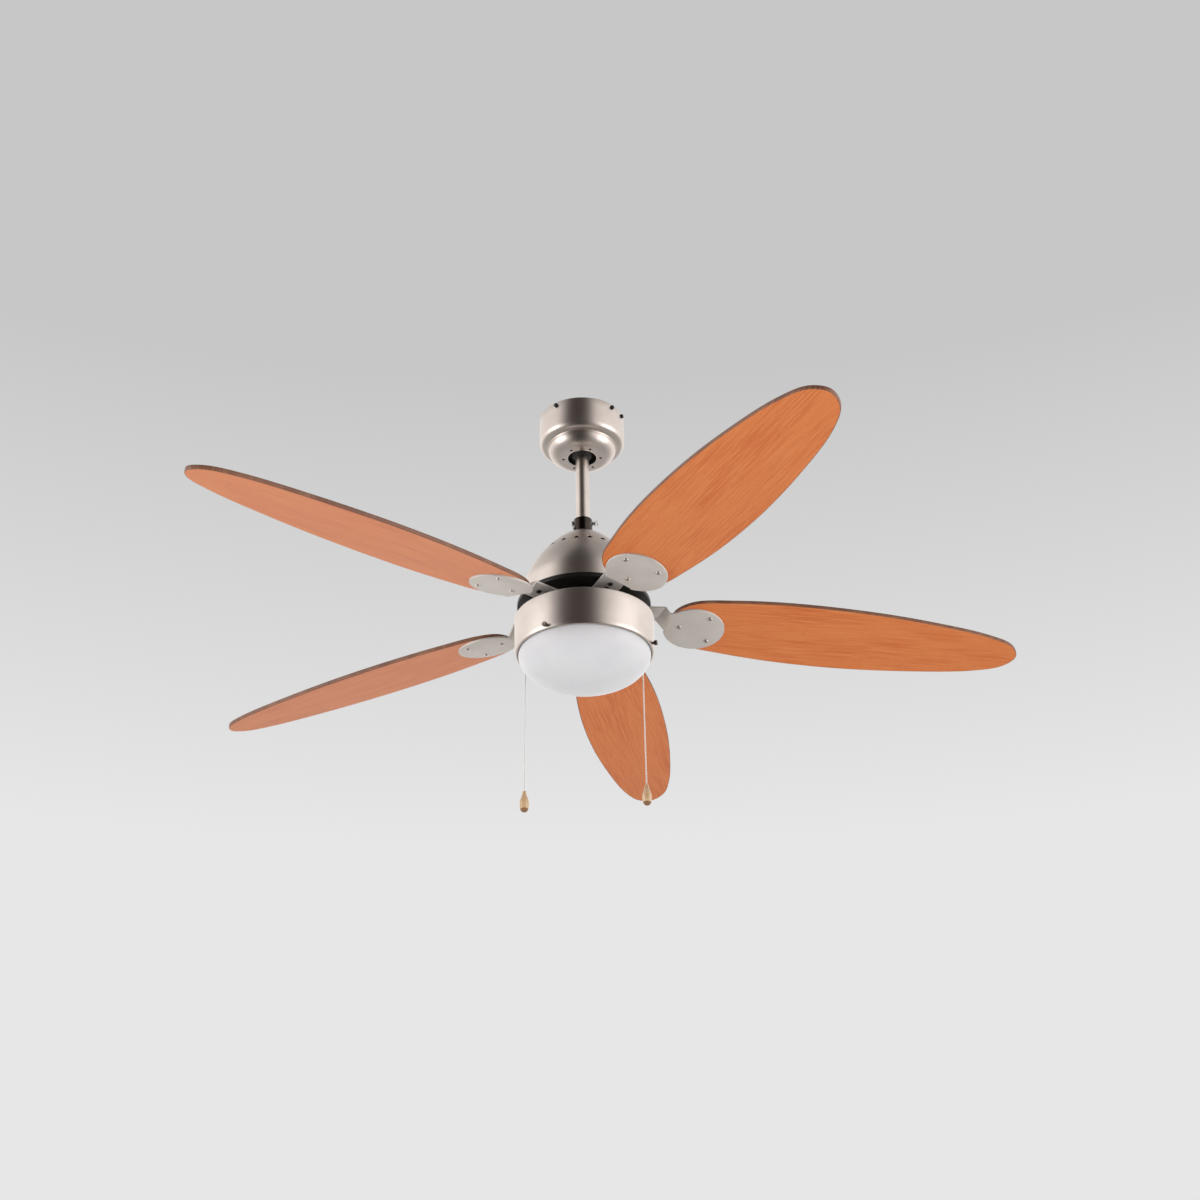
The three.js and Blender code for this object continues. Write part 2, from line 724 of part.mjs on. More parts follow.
// A turned drop with a waist, hung by its narrow end.
function fob(top) {
  const line = new THREE.Path();
  line.moveTo(0, top);
  line.lineTo(2.6, top);
  line.lineTo(2.9, top - 2.5);
  line.bezierCurveTo(3.4, top - 9, fobRadius, top - 12, fobRadius, top - 20);
  line.bezierCurveTo(fobRadius, top - 26, 5, top - fobLength + 2, 3.4, top - fobLength);
  line.lineTo(0, top - fobLength);
  return turned(line.getPoints(4).map((p) => [p.x, p.y]), 16);
}

function addPullSwitch(hub, name, angle, chainLength) {
  const side = subGroup(hub, { turn: angle });
  const body = subGroup(side);
  body.position.x = switchReach;
  add(body, `${name}_switch`, switchCup(), nylon);
  add(body, `${name}_switch_spool`, switchSpool(), blackPlastic);
  const hanging = subGroup(side);
  hanging.position.x = chainReach;
  add(hanging, `${name}_chain_guide`, chainGuide(), nickel);
  const chainTop = straightChain(guideBoreTop - touchGap, guideMouth + chainRadius + touchGap);
  add(hanging, `${name}_chain_top`, chainTop, nickel);
  add(hanging, `${name}_chain`, hangingChain(chainLength), nickel);
  add(hanging, `${name}_chain_fob`, fob(guideMouth - chainLength - touchGap), paleWood);
}

// ---- Light --------------------------------------------------------------------------

function lightPan() {
  const edge = housingRadius - sheet - runGap;
  return turned([
    [0, panHeight - sheet], [edge - sheet, panHeight - sheet], [edge - sheet, panHeight - panRim],
    [edge, panHeight - panRim], [edge, panHeight - 1], [edge - 1, panHeight], [0, panHeight],
  ], bigSides);
}

function lampHolder() {
  const body = bar(holderRadius, 0, holderLength, 16);
  const foot = block([0, holderLeg], [-holderRadius * 0.6, holderRadius * 0.6],
    [0, panHeight - sheet - touchGap - lampHeight]);
  const socket = bar(lampNeck + touchGap, holderLeg, holderLength + 5, 16);
  return cut(join(body, foot), socket);
}

function lamp() {
  const start = holderLeg + touchGap * 2;
  const ballAt = holderLength + lampRadius * 0.9;
  const meet = ballAt - Math.sqrt(lampRadius ** 2 - lampNeck ** 2);
  const globe = new THREE.Path();
  globe.moveTo(0, start);
  globe.lineTo(lampNeck, start);
  globe.lineTo(lampNeck, meet);
  const firstAngle = Math.atan2(meet - ballAt, lampNeck);
  globe.absarc(0, ballAt, lampRadius, firstAngle, Math.PI / 2);
  const profile = globe.getPoints(4).map((p) => [Math.max(p.x, 0), p.y]);
  profile[profile.length - 1][0] = 0;
  return turned(profile, 16).rotateY(Math.PI / 2);
}

function addLamp(hub, number, turn) {
  const side = subGroup(hub, { turn });
  const seat = new THREE.Group();
  seat.position.set(-holderLength - lampRadius * 0.9, lampOffset, lampHeight);
  side.add(seat);
  add(seat, `lamp_holder_${number}`, lampHolder(), porcelain);
  add(seat, `lamp_${number}`, lamp(), frostedLamp);
}

function glassBowl() {
  const steps = 7;
  const line = [[bowlNeckRadius, bowlNeckTop], [bowlNeckRadius, bowlRim + 4], [bowlRadius, bowlRim]];
  const inside = [[bowlNeckRadius - bowlWall, bowlNeckTop], [bowlNeckRadius - bowlWall, bowlRim + 3]];
  for (let i = 1; i <= steps; i += 1) {
    const angle = (Math.PI / 2) * (i / steps);
    line.push([bowlRadius * Math.cos(angle), bowlRim - bowlDepth * Math.sin(angle)]);
  }
  for (let i = 0; i <= steps; i += 1) {
    const angle = (Math.PI / 2) * (i / steps);
    const [reach, depth] = [bowlRadius - bowlWall, bowlDepth - bowlWall];
    inside.push([reach * Math.cos(angle), bowlRim - depth * Math.sin(angle)]);
  }
  line[line.length - 1][0] = 0;
  inside[inside.length - 1][0] = 0;
  return turned([...inside.reverse(), ...line], bigSides);
}

function thumbScrew() {
  const tip = bowlNeckRadius + touchGap * 2;
  const headFrom = housingRadius + 1.5;
  const shank = bar(thumbScrewRadius, tip, headFrom + 1);
  const head = bar(thumbHeadRadius, headFrom, headFrom + thumbHeadLength, 16);
  return join(shank, head).translate(0, 0, thumbScrewHeight);
}

// ---- Assembly ---------------------------------------------------------------------------

const fan = new THREE.Group();

add(fan, 'canopy', canopy(), nickel);
canopyScrewAngles.forEach((angle, i) => {
  add(subGroup(fan, { turn: angle }), `canopy_screw_${i + 1}`, canopyScrew(), blackEnamel);
});
const bracketGroup = subGroup(fan, { turn: bracketAngle });
add(bracketGroup, 'ceiling_bracket', ceilingBracket(), blackEnamel);
add(bracketGroup, 'terminal_block', terminalBlock(), nylon).position.x = blockReach;

const ballGroup = subGroup(fan, { z: -ballDepth, turn: bracketAngle });
add(ballGroup, 'hanger_ball', hangerBall(), blackPlastic);
add(ballGroup, 'ball_pin', bar(ballPinRadius, -ballPinLength / 2, ballPinLength / 2).translate(0, 0, ballTop),
  bracketSteel);

const hub = subGroup(fan, { z: -bladeDrop });
add(hub, 'downrod', downRod(), nickel);
add(hub, 'yoke_collar', yokeCollar(), darkNickel);
const pinGroup = subGroup(hub, { z: clevisPinHeight });
pinGroup.rotation.x = radians(clipLean);
add(pinGroup, 'clevis_pin', clevisPin(), bracketSteel);
add(pinGroup, 'clevis_clip', clevisClip(), bracketSteel).position.x = clevisPinReach;
add(subGroup(hub, { z: collarScrewHeight, turn: collarScrewAngle }), 'collar_screw', collarScrew(), bracketSteel);

add(hub, 'motor_shaft', motorShaft(), bracketSteel);
add(hub, 'upper_bearing', bearing(shellTop - 1.5 - touchGap - bearingHeight), bracketSteel);
add(hub, 'lower_bearing', bearing(flangeBossBottom + 1.2 + touchGap), bracketSteel);
add(hub, 'stator_core', statorCore(), laminate);
add(hub, 'upper_winding', winding(statorTop + touchGap), copper);
add(hub, 'lower_winding', winding(statorBottom - touchGap - windingHeight), copper);
add(hub, 'dome_cover', domeCover(), nickel);

add(hub, 'rotor_shell', rotorShell(), castAlloy);
add(hub, 'rotor_cage', rotorCage(), laminate);
add(hub, 'rotor_flange', rotorFlange(), blackEnamel);
for (let i = 0; i < bladeCount; i += 1) {
  const arm = subGroup(hub, { turn: firstBlade + (360 * i) / bladeCount });
  add(arm, `blade_iron_${i + 1}`, bladeIron(), nickel);
  add(arm, `blade_${i + 1}`, bladeBoard(), cherryWood).rotation.copy(pitchPlane());
}

add(hub, 'mount_plate', mountPlate(), bracketSteel);
add(hub, 'shaft_nut', shaftNut(), bracketSteel);
add(hub, 'switch_housing', switchHousing(), nickel);
add(hub, 'capacitor', capacitor(), blackPlastic);
addPullSwitch(hub, 'fan', fanChainAngle, fanChainLength);
addPullSwitch(hub, 'light', lightChainAngle, lightChainLength);

add(hub, 'light_pan', lightPan(), whitePaint);
addLamp(hub, 1, 0);
addLamp(hub, 2, 180);
add(hub, 'glass_bowl', glassBowl(), opalGlass);
thumbScrewAngles.forEach((angle, i) => {
  add(subGroup(hub, { turn: angle }), `thumb_screw_${i + 1}`, thumbScrew(), nickel);
});

export default fan;
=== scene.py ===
# %% [markdown]
# # A ceiling fan with a light
#
# This lesson dresses a finished engineering model of a ceiling fan. The model, called the frame
# here, already knows where every part is and how it moves. Blender adds what the eye wants: round
# metal that is really round, rolled edges, screws with cross slots, bead chains and wood grain.

# %% Load the frame
import json
import math

import bmesh
import bpy
from mathutils import Euler, Matrix, Vector
from mathutils.geometry import interpolate_bezier


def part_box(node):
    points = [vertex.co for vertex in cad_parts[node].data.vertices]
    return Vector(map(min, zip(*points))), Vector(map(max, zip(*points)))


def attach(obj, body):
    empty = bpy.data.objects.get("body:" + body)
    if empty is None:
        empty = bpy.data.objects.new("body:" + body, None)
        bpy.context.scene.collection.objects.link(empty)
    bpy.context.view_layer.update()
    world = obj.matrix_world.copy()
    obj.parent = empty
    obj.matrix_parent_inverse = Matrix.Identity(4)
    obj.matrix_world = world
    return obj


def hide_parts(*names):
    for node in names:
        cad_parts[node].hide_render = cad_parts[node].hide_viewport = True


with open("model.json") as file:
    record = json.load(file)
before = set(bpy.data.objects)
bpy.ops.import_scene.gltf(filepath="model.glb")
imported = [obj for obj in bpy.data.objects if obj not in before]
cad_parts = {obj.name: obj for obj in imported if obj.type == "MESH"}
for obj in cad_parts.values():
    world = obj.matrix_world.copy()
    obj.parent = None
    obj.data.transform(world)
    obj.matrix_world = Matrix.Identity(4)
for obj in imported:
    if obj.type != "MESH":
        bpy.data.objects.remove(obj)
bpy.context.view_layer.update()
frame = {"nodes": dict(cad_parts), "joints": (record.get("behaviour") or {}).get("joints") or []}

# %% [markdown]
# ## Units and heights
#
# A maker of lamps and fans thinks in millimetres, and Blender works in metres, so one number
# converts between them. Everything under the down rod is measured from the plane where the blades
# cross the axis, because that is how the motor is built. The frame's own spin joint sits there.
# Parts that fit together stand a hair apart, by the same clearance as in the engineering model.

# %% Units and heights
MM = 0.001
SPIN = next(joint for joint in frame["joints"] if joint["name"] == "rotor_spin")
HUB = SPIN["pos_m"][2] / MM
FIT = 0.3


def top_of(node):
    """Height of a node's top above the blade plane, in millimetres."""
    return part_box(node)[1].z / MM - HUB


def foot_of(node):
    """Height of a node's foot above the blade plane, in millimetres."""
    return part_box(node)[0].z / MM - HUB


def reach_of(node):
    """Largest X of a node in millimetres: the radius of anything turned about the axis."""
    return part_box(node)[1].x / MM


HOUSING = reach_of("switch_housing")
print("the blade plane is", HUB, "mm from the ceiling; the drum is", HOUSING, "mm in radius")

# %% [markdown]
# ## The camera
#
# The viewer stands below and in front of the fan, as somebody in a room does, and looks up. The
# camera is aimed with a forward direction and three small turns. A tracking constraint would
# be quicker, but a fixed matrix can't drift when something else in the scene changes.

# %% The camera
EYE = Vector((0, -2053.2, -1454.2)) * MM
PAN, TILT, ROLL = (math.radians(angle) for angle in (-0.584, 0.572, 0.759))
LENS = 47.14
FILM = 36
FARTHEST = 60


def aim_camera(eye, target):
    """Makes the scene's camera. It looks from eye to target, panned, tilted and rolled a little."""
    forward = (target - eye).normalized()
    right = Vector((1, 0, 0))
    up = right.cross(forward)
    pan = Matrix.Rotation(PAN, 3, up)
    forward, right = pan @ forward, pan @ right
    tilt = Matrix.Rotation(TILT, 3, right)
    forward, up = tilt @ forward, tilt @ up
    roll = Matrix.Rotation(ROLL, 3, forward)
    right, up = roll @ right, roll @ up
    camera = bpy.data.objects.new("camera", bpy.data.cameras.new("camera"))
    camera.data.lens = LENS
    camera.data.sensor_width = FILM
    camera.data.clip_end = FARTHEST
    turn = Matrix((right, up, -forward)).transposed().to_4x4()
    camera.matrix_world = Matrix.Translation(eye) @ turn
    bpy.context.scene.collection.objects.link(camera)
    bpy.context.scene.camera = camera


aim_camera(EYE, Vector((0, 0, HUB)) * MM)
below = round(HUB * MM - EYE.z, 2)
print("the camera stands", round(-EYE.y, 2), "m in front and", below, "m below the blades")

# %% [markdown]
# ## From a bmesh to a piece
#
# Each new piece starts as a bmesh and ends as an object that rides on a body of the frame. One
# helper does the ending, so that no piece forgets its finish, its body or the part it stands for.
# Smooth shading with sharp edges above an angle is what a metal press or a lathe leaves.


# %% From a bmesh to a piece
def finish_of(slot):
    """The material of a finish. Its nodes are built further down."""
    return bpy.data.materials.get("finish_" + slot) or bpy.data.materials.new("finish_" + slot)


def keep(bm, name, body, slot, replaces=(), sharp=32, dress=None, extras=()):
    """Makes bm a shown piece that rides on body and stands for the nodes in replaces.

    dress is the finish it wears where that isn't named after its slot, and extras are finishes
    for faces with a higher material index.
    """
    mesh = bpy.data.meshes.new(name)
    bm.to_mesh(mesh)
    bm.free()
    mesh.shade_smooth()
    mesh.set_sharp_from_angle(angle=math.radians(sharp))
    for finish in (dress or slot, *extras):
        mesh.materials.append(finish_of(finish))
    piece = bpy.data.objects.new(name, mesh)
    bpy.context.scene.collection.objects.link(piece)
    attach(piece, body)
    if replaces:
        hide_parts(*replaces)
    print(name, "has", len(mesh.polygons), "faces and rides on", body)
    return piece


def add_copy(bm, part, matrix):
    """Adds the bmesh part to bm, placed by matrix, and frees it."""
    part.transform(matrix)
    scratch = bpy.data.meshes.new("scratch")
    part.to_mesh(scratch)
    part.free()
    bm.from_mesh(scratch)
    bpy.data.meshes.remove(scratch)


def facing(angle, x=0, z=0):
    """A place at an angle round the fan: x millimetres out and z above the blade plane."""
    turn = Matrix.Rotation(math.radians(angle), 4, "Z")
    return turn @ Matrix.Translation(Vector((x, 0, z + HUB)) * MM)


# %% [markdown]
# ## Bead chains
#
# A pull chain is hollow beads on short wires. It hangs straight under its own weight and is the
# one limp thing on the fan. Real beads meet their wires loosely, so a sphere every few millimetres
# on a thin wire shows all there is to see. The beads are coarse, because there are many of them.
# The length inside the guide slides straight, and ends one bead above the length that swings.

# %% Bead chains
CHAIN_REACH = HOUSING + 6.7
# Each chain's angle round the drum, in degrees, and the length that hangs free.
CHAINS = {"fan": (37.6, 196), "light": (144.5, 205)}
MOUTH = -46
IN_GUIDE = 13.6
BEAD = 1.2
BEAD_PITCH = 3.1
WIRE = 0.42


def beaded(spot, top, bottom):
    """A straight bead chain below spot, between two heights in millimetres."""
    bm = bmesh.new()
    length = top - bottom
    count = round(length / BEAD_PITCH)
    for step in range(count + 1):
        place = Matrix.Translation(spot + Vector((0, 0, top - length * step / count)) * MM)
        bmesh.ops.create_uvsphere(bm, u_segments=8, v_segments=6, radius=BEAD * MM, matrix=place)
    middle = spot + Vector((0, 0, (top + bottom) / 2)) * MM
    bmesh.ops.create_cone(
        bm, segments=6, radius1=WIRE * MM, radius2=WIRE * MM, depth=length * MM, cap_ends=True,
        matrix=Matrix.Translation(middle))
    return bm


for name, (angle, length) in CHAINS.items():
    spot = facing(angle, x=CHAIN_REACH).translation
    chain = beaded(spot, MOUTH, MOUTH - length)
    keep(chain, name + "_bead_chain", name + "_pendant", "nickel",
                        replaces=[name + "_chain"], sharp=80, dress="bright_chain")
    inner = beaded(spot, MOUTH + IN_GUIDE, MOUTH + BEAD_PITCH)
    keep(inner, name + "_chain_in_guide", name + "_pull", "nickel",
         replaces=[name + "_chain_top"], sharp=80, dress="bright_chain")

# %% [markdown]
# ## Turned and pressed shapes
#
# Most of a fan is round: spun covers, a rod, a bowl. Each is a line of points, radius and height,
# swept round the axis with the spin operator. A mirror or an array would leave a seam, and a full
# spin with its ends merged doesn't. A solid shape has its normals recalculated. On an open shell
# the outside is on the left of the line, as a walker along it would see it, and the helper turns
# the faces round if they come out wrong.


# %% Turned and pressed shapes
SAME_POINT = 0.002


def turned(profile, steps=96, base=None, closed=False):
    """A shape spun about Z from (radius, height) points in millimetres above base."""
    base = HUB if base is None else base
    bm = bmesh.new()
    line = [bm.verts.new(Vector((radius, 0, height + base)) * MM) for radius, height in profile]
    edges = [bm.edges.new(pair) for pair in zip(line, line[1:])]
    if closed:
        edges.append(bm.edges.new((line[-1], line[0])))
    first, second = line[0].co.copy(), line[1].co.copy()
    bmesh.ops.spin(
        bm, geom=line + edges, cent=(0, 0, 0), axis=(0, 0, 1), angle=math.tau, steps=steps,
        use_merge=True)
    bmesh.ops.remove_doubles(bm, verts=bm.verts, dist=SAME_POINT * MM)
    if closed or profile[0][0] == profile[-1][0] == 0:
        bmesh.ops.recalc_face_normals(bm, faces=bm.faces)
        return bm
    half_step = Matrix.Rotation(math.pi / steps, 3, "Z")
    middle = half_step @ ((first + second) / 2)
    nearest = min(bm.faces, key=lambda face: (face.calc_center_median() - middle).length)
    along = second - first
    outward = half_step @ Vector((-along.z, 0, along.x))
    if nearest.normal.dot(outward) < 0:
        bmesh.ops.reverse_faces(bm, faces=bm.faces)
    return bm


def bend(start, leave, arrive, end, count=10):
    """Points along a curve, without its first point, which the line before it has."""
    curve = interpolate_bezier(Vector(start), Vector(leave), Vector(arrive), Vector(end), count + 1)
    return [tuple(point) for point in curve[1:]]


def rounding(centre, radius, start, end, count=5):
    """Points of an arc, between angles in degrees that are measured from level, upwards."""
    angles = [math.radians(start + (end - start) * step / count) for step in range(count + 1)]
    x, z = centre
    return [(x + radius * math.cos(angle), z + radius * math.sin(angle)) for angle in angles]


def walled(piece, thickness, edge=0.3, lined=False):
    """Gives a pressed cover its sheet thickness, inwards, and softens the cut edges.

    A lined cover wears its second finish, a painted shade, on the inside.
    """
    sheet = piece.modifiers.new("sheet", "SOLIDIFY")
    sheet.thickness = thickness * MM
    sheet.offset = -1
    sheet.use_even_offset = True
    sheet.material_offset = int(lined)
    bevel = piece.modifiers.new("soft edges", "BEVEL")
    bevel.width = edge * MM
    bevel.segments = 2
    bevel.limit_method = "ANGLE"
    bevel.angle_limit = math.radians(40)


print("a line and a full spin make every round part")

# %% [markdown]
# ## Punched holes
#
# Air leaves the motor through rows of round holes. A boolean would cut them, and leave long thin
# triangles that shade badly. Here the faces in the way of a hole are joined into one, that face is
# inset, and its inner corners are pulled onto a circle before it is deleted.


# %% Punched holes
PATCH = 1.5
MARGIN = 0.25


def punch(bm, centre, radius):
    """Opens a round hole in a shell round a point. Both are in metres."""
    near = [face for face in bm.faces if (face.calc_center_median() - centre).length < PATCH * radius]
    region = bmesh.ops.dissolve_faces(bm, faces=near)["region"]
    blank = max(region, key=lambda face: face.calc_area())
    bmesh.ops.inset_individual(bm, faces=[blank], thickness=MARGIN * radius)
    normal = blank.normal.copy()
    for corner in blank.verts:
        arm = corner.co - centre
        arm -= normal * arm.dot(normal)
        corner.co = centre + arm.normalized() * radius
    bmesh.ops.delete(bm, geom=[blank], context="FACES_ONLY")


def punch_ring(bm, count, first, reach, height, radius, base):
    """A ring of holes. The point of each is found on the shell itself."""
    for index in range(count):
        turn = Matrix.Rotation(math.radians(first + 360 * index / count), 3, "Z")
        rough = turn @ (Vector((reach, 0, height + base)) * MM)
        nearest = min(bm.verts, key=lambda vertex: (vertex.co - rough).length)
        punch(bm, nearest.co.copy(), radius * MM)


print("holes are punched, not cut")

# %% [markdown]
# ## The canopy
#
# The canopy hides the ceiling bracket and the wires. It is spun from thin sheet in two steps: a
# straight drum, then a smaller cup that turns in to the opening where the ball sits. The inside
# is never polished, and its dark lining is painted shade, so the vents and the mouth look dark.

# %% The canopy
CANOPY = reach_of("canopy")
CANOPY_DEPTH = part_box("canopy")[0].z / MM
CUP = 53.2
BALL_MOUTH = 22.2
VENT_RING = 30
CUP_FLAT = 35
SHEET = 1.2

canopy_line = [(CANOPY, 0), (CANOPY, -12), (CANOPY, -26), (CANOPY, -40)]
canopy_line += bend((CANOPY, -40), (CANOPY, -46.7), (CUP + 10.5, -50.2), (CUP + 5, -50.5), 9)
canopy_line += [(CUP + 1.6, -50.9)]
canopy_line += bend((CUP + 1.6, -50.9), (CUP + 0.5, -51), (CUP, -51.6), (CUP, -53), 4)
canopy_line += bend((CUP, -53), (CUP, -62.5), (CUP - 10, CANOPY_DEPTH), (CUP_FLAT, CANOPY_DEPTH), 12)
# Close rings here give the vents small faces to be punched in.
canopy_line += [(VENT_RING + step, CANOPY_DEPTH) for step in (3, 1, -1, -3, -5)]
canopy_line += [(BALL_MOUTH + 1.2, CANOPY_DEPTH), (BALL_MOUTH, CANOPY_DEPTH + 0.6)]
bm = turned(canopy_line, steps=112, base=0)
punch_ring(bm, count=6, first=56, reach=VENT_RING, height=CANOPY_DEPTH, radius=2.3, base=0)
# Painted shade: the canopy's inside wears a dark lining, so its vents and mouth look dark.
canopy = keep(bm, "canopy_shell", "ceiling_mount", "nickel", replaces=["canopy"], extras=["primer"])
walled(canopy, SHEET, lined=True)

# %% [markdown]
# ## Screws
#
# A screw head is small, and still the eye looks for its slot. The head grows from a disc: it is
# extruded three times, each ring a little smaller, the top is inset, its corners are pulled into a
# four-pointed star, and the star is pushed down.


# %% Screws
SLOT_REACH = 0.55
SLOT_WAIST = 0.16


def cross_screw(radius, height):
    """A pan head with a cross slot, its seat at the origin and its top up, in millimetres."""
    bm = bmesh.new()
    bmesh.ops.create_circle(bm, cap_ends=True, segments=16, radius=radius * MM)
    crown = bm.faces[:]
    for rise, size in ((0.45, 1), (0.4, 0.86), (0.15, 0.72)):
        grown = bmesh.ops.extrude_face_region(bm, geom=crown)["geom"]
        bmesh.ops.delete(bm, geom=crown, context="FACES_ONLY")
        crown = [item for item in grown if isinstance(item, bmesh.types.BMFace)]
        corners = crown[0].verts[:]
        bmesh.ops.scale(bm, verts=corners, vec=(size, size, 1))
        bmesh.ops.translate(bm, verts=corners, vec=(0, 0, rise * height * MM))
    star = crown[0]
    bmesh.ops.inset_individual(bm, faces=[star], thickness=0.05 * radius * MM)
    for corner in star.verts:
        angle = math.degrees(math.atan2(corner.co.y, corner.co.x))
        on_arm = abs((angle + 45) % 90 - 45) < 5
        size = (SLOT_REACH if on_arm else SLOT_WAIST) * radius * MM
        corner.co.xy = corner.co.xy.normalized() * size
    pushed = bmesh.ops.extrude_discrete_faces(bm, faces=[star])["faces"][0]
    bmesh.ops.scale(bm, verts=pushed.verts, vec=(0.6, 0.6, 1))
    bmesh.ops.translate(bm, verts=pushed.verts, vec=(0, 0, -0.5 * height * MM))
    bmesh.ops.recalc_face_normals(bm, faces=bm.faces)
    return bm


# Turns a piece that points up until it points along +X.
OUTWARDS = Matrix.Rotation(math.pi / 2, 4, "Y")
# The screws' places round the canopy, in degrees.
CANOPY_SCREWS = (-126, -44.5, -20, 140)
SCREW_DEPTH = -6


def fitted_screw(seat, radius, height, length):
    """A screw with its head on a seat that faces along +X, and a shank from just inside it."""
    bm = bmesh.new()
    add_copy(bm, cross_screw(radius, height), seat @ OUTWARDS)
    shank = 0.6 * radius * MM
    middle = Matrix.Translation(((0.2 - length / 2) * MM, 0, 0))
    bmesh.ops.create_cone(
        bm, segments=12, radius1=shank, radius2=shank, depth=length * MM, cap_ends=True,
        matrix=seat @ middle @ OUTWARDS)
    return bm


# Painted reflection: the canopy screws wear black enamel for the dark that their nickel heads mirror.
for number, angle in enumerate(CANOPY_SCREWS, 1):
    node = f"canopy_screw_{number}"
    seat = facing(angle, x=CANOPY + FIT, z=SCREW_DEPTH - HUB)
    bm = fitted_screw(seat, radius=3.4, height=3, length=9)
    keep(bm, node + "_head", "ceiling_mount", "black_enamel", replaces=[node], sharp=40)

# %% [markdown]
# ## Ball, rod and collar
#
# The rod hangs from a moulded ball that rests in the bracket, so the fan can find its own plumb
# line. At its foot a dark yoke collar clamps it to the motor's shaft. All three are turned solids.

# %% Ball, rod and collar
BALL_DEPTH = -50
BALL = 22.5
ROD = reach_of("downrod")
FLAT = 14
flat_angle = math.degrees(math.asin(FLAT / BALL))
bore_angle = math.degrees(math.acos((ROD + FIT) / BALL))
ball_line = [(ROD + FIT, FLAT), *rounding((0, 0), BALL, flat_angle, -bore_angle, 22)]
ball = turned(ball_line, steps=64, base=BALL_DEPTH, closed=True)
keep(ball, "hanger_ball_turned", "hanging", "black_plastic", replaces=["hanger_ball"])

rod_top, rod_foot = top_of("downrod"), foot_of("downrod")
ROD_BORE = ROD - 1.5
rod_line = [(ROD_BORE, rod_top), (ROD, rod_top), (ROD, rod_foot), (ROD_BORE, rod_foot)]
rod = turned(rod_line, steps=64, closed=True)
keep(rod, "rod_tube", "hanging", "nickel", replaces=["downrod"])

COLLAR = 14.8
collar_top, collar_foot = top_of("yoke_collar"), foot_of("yoke_collar")
COLLAR_SEAT = 141
SHAFT = 8.5
RIM = 21
RIM_TOP = 136.1
rim_foot = RIM_TOP - 3
collar_line = [(SHAFT + FIT, collar_foot), (COLLAR - 1, collar_foot), (COLLAR, collar_foot + 1)]
collar_line += [(COLLAR, rim_foot), (RIM, rim_foot), (RIM, RIM_TOP), (COLLAR, RIM_TOP)]
collar_line += [(COLLAR, collar_top - 2)] + rounding((COLLAR - 2, collar_top - 2), 2, 0, 90, 4)
collar_line += [(ROD + FIT, collar_top), (ROD + FIT, COLLAR_SEAT), (SHAFT + FIT, COLLAR_SEAT)]
collar = turned(collar_line, steps=64, closed=True)
keep(collar, "collar_body", "hanging", "dark_nickel", replaces=["yoke_collar"])

# %% [markdown]
# ## Bent wire and tube
#
# A clip is bent from wire and a chain guide from tube. A curve with a bevel would do, but its ends
# are hard to shape, so a circle is carried along the route instead and extruded at each stop. It
# may be given another radius at every stop, which flares an end.


# %% Bent wire and tube
ACROSS = Vector((0, 1, 0))


def swept(route, radii, sides=20):
    """A round bar along a route in the XZ plane, with a radius for each point, in millimetres."""
    bm = bmesh.new()
    frames = []
    for index, point in enumerate(route):
        before = route[max(index - 1, 0)]
        after = route[min(index + 1, len(route) - 1)]
        ahead = (Vector(after) - Vector(before)).normalized()
        turn = Matrix((ACROSS, ahead.cross(ACROSS), ahead)).transposed().to_4x4()
        frames.append(Matrix.Translation(Vector(point) * MM) @ turn @ Matrix.Scale(radii[index], 4))
    bmesh.ops.create_circle(bm, segments=sides, radius=MM, cap_ends=True, matrix=frames[0])
    edges = bm.edges[:]
    for previous, place in zip(frames, frames[1:]):
        grown = bmesh.ops.extrude_edge_only(bm, edges=edges)["geom"]
        corners = [item for item in grown if isinstance(item, bmesh.types.BMVert)]
        bmesh.ops.transform(bm, matrix=place @ previous.inverted(), verts=corners)
        edges = [item for item in grown if isinstance(item, bmesh.types.BMEdge)]
        edges = [edge for edge in edges if all(vertex in corners for vertex in edge.verts)]
    bmesh.ops.holes_fill(bm, edges=edges, sides=sides)
    bmesh.ops.recalc_face_normals(bm, faces=bm.faces)
    return bm


def through(stops, count=6):
    """Points of a smooth curve that passes through every stop."""
    stops = [Vector(stop) for stop in stops]
    route = [stops[0]]
    for before, start, end, after in zip([stops[0], *stops], stops, stops[1:], [*stops[2:], stops[-1]]):
        leave, arrive = start + (end - before) / 6, end - (after - start) / 6
        route += interpolate_bezier(start, leave, arrive, end, count + 1)[1:]
    return route


print("a circle and a route make every bent part")

# %% [markdown]
# ## Pin, clip and screw
#
# One pin goes through the collar and the rod. A spring clip hooks through its far end and leans
# round it, so that it can't work out, and a small screw in the collar takes up the play.

# %% Pin, clip and screw
PIN = 2.6
PIN_HEIGHT = 160
PIN_END = 20
PIN_HEAD = -COLLAR - 3
CLIP_AT = 18
CLIP_LEAN = math.radians(-35)
CLIP_WIRE = 0.9
pin_place = facing(0, z=PIN_HEIGHT) @ Matrix.Rotation(CLIP_LEAN, 4, "X")
pin_line = [(0, PIN_HEAD), (PIN + 1, PIN_HEAD), (PIN + 1.8, PIN_HEAD + 0.8), (PIN + 1.8, PIN_HEAD + 2.4)]
pin_line += [(PIN + 1.5, -COLLAR - FIT), (PIN, -COLLAR - FIT), (PIN, PIN_END - 0.8)]
pin_line += [(PIN - 0.8, PIN_END), (0, PIN_END)]
pin = turned(pin_line, steps=32, base=0)
pin.transform(pin_place @ OUTWARDS)
keep(pin, "pin_shank", "hanging", "plated_steel", replaces=["clevis_pin"])

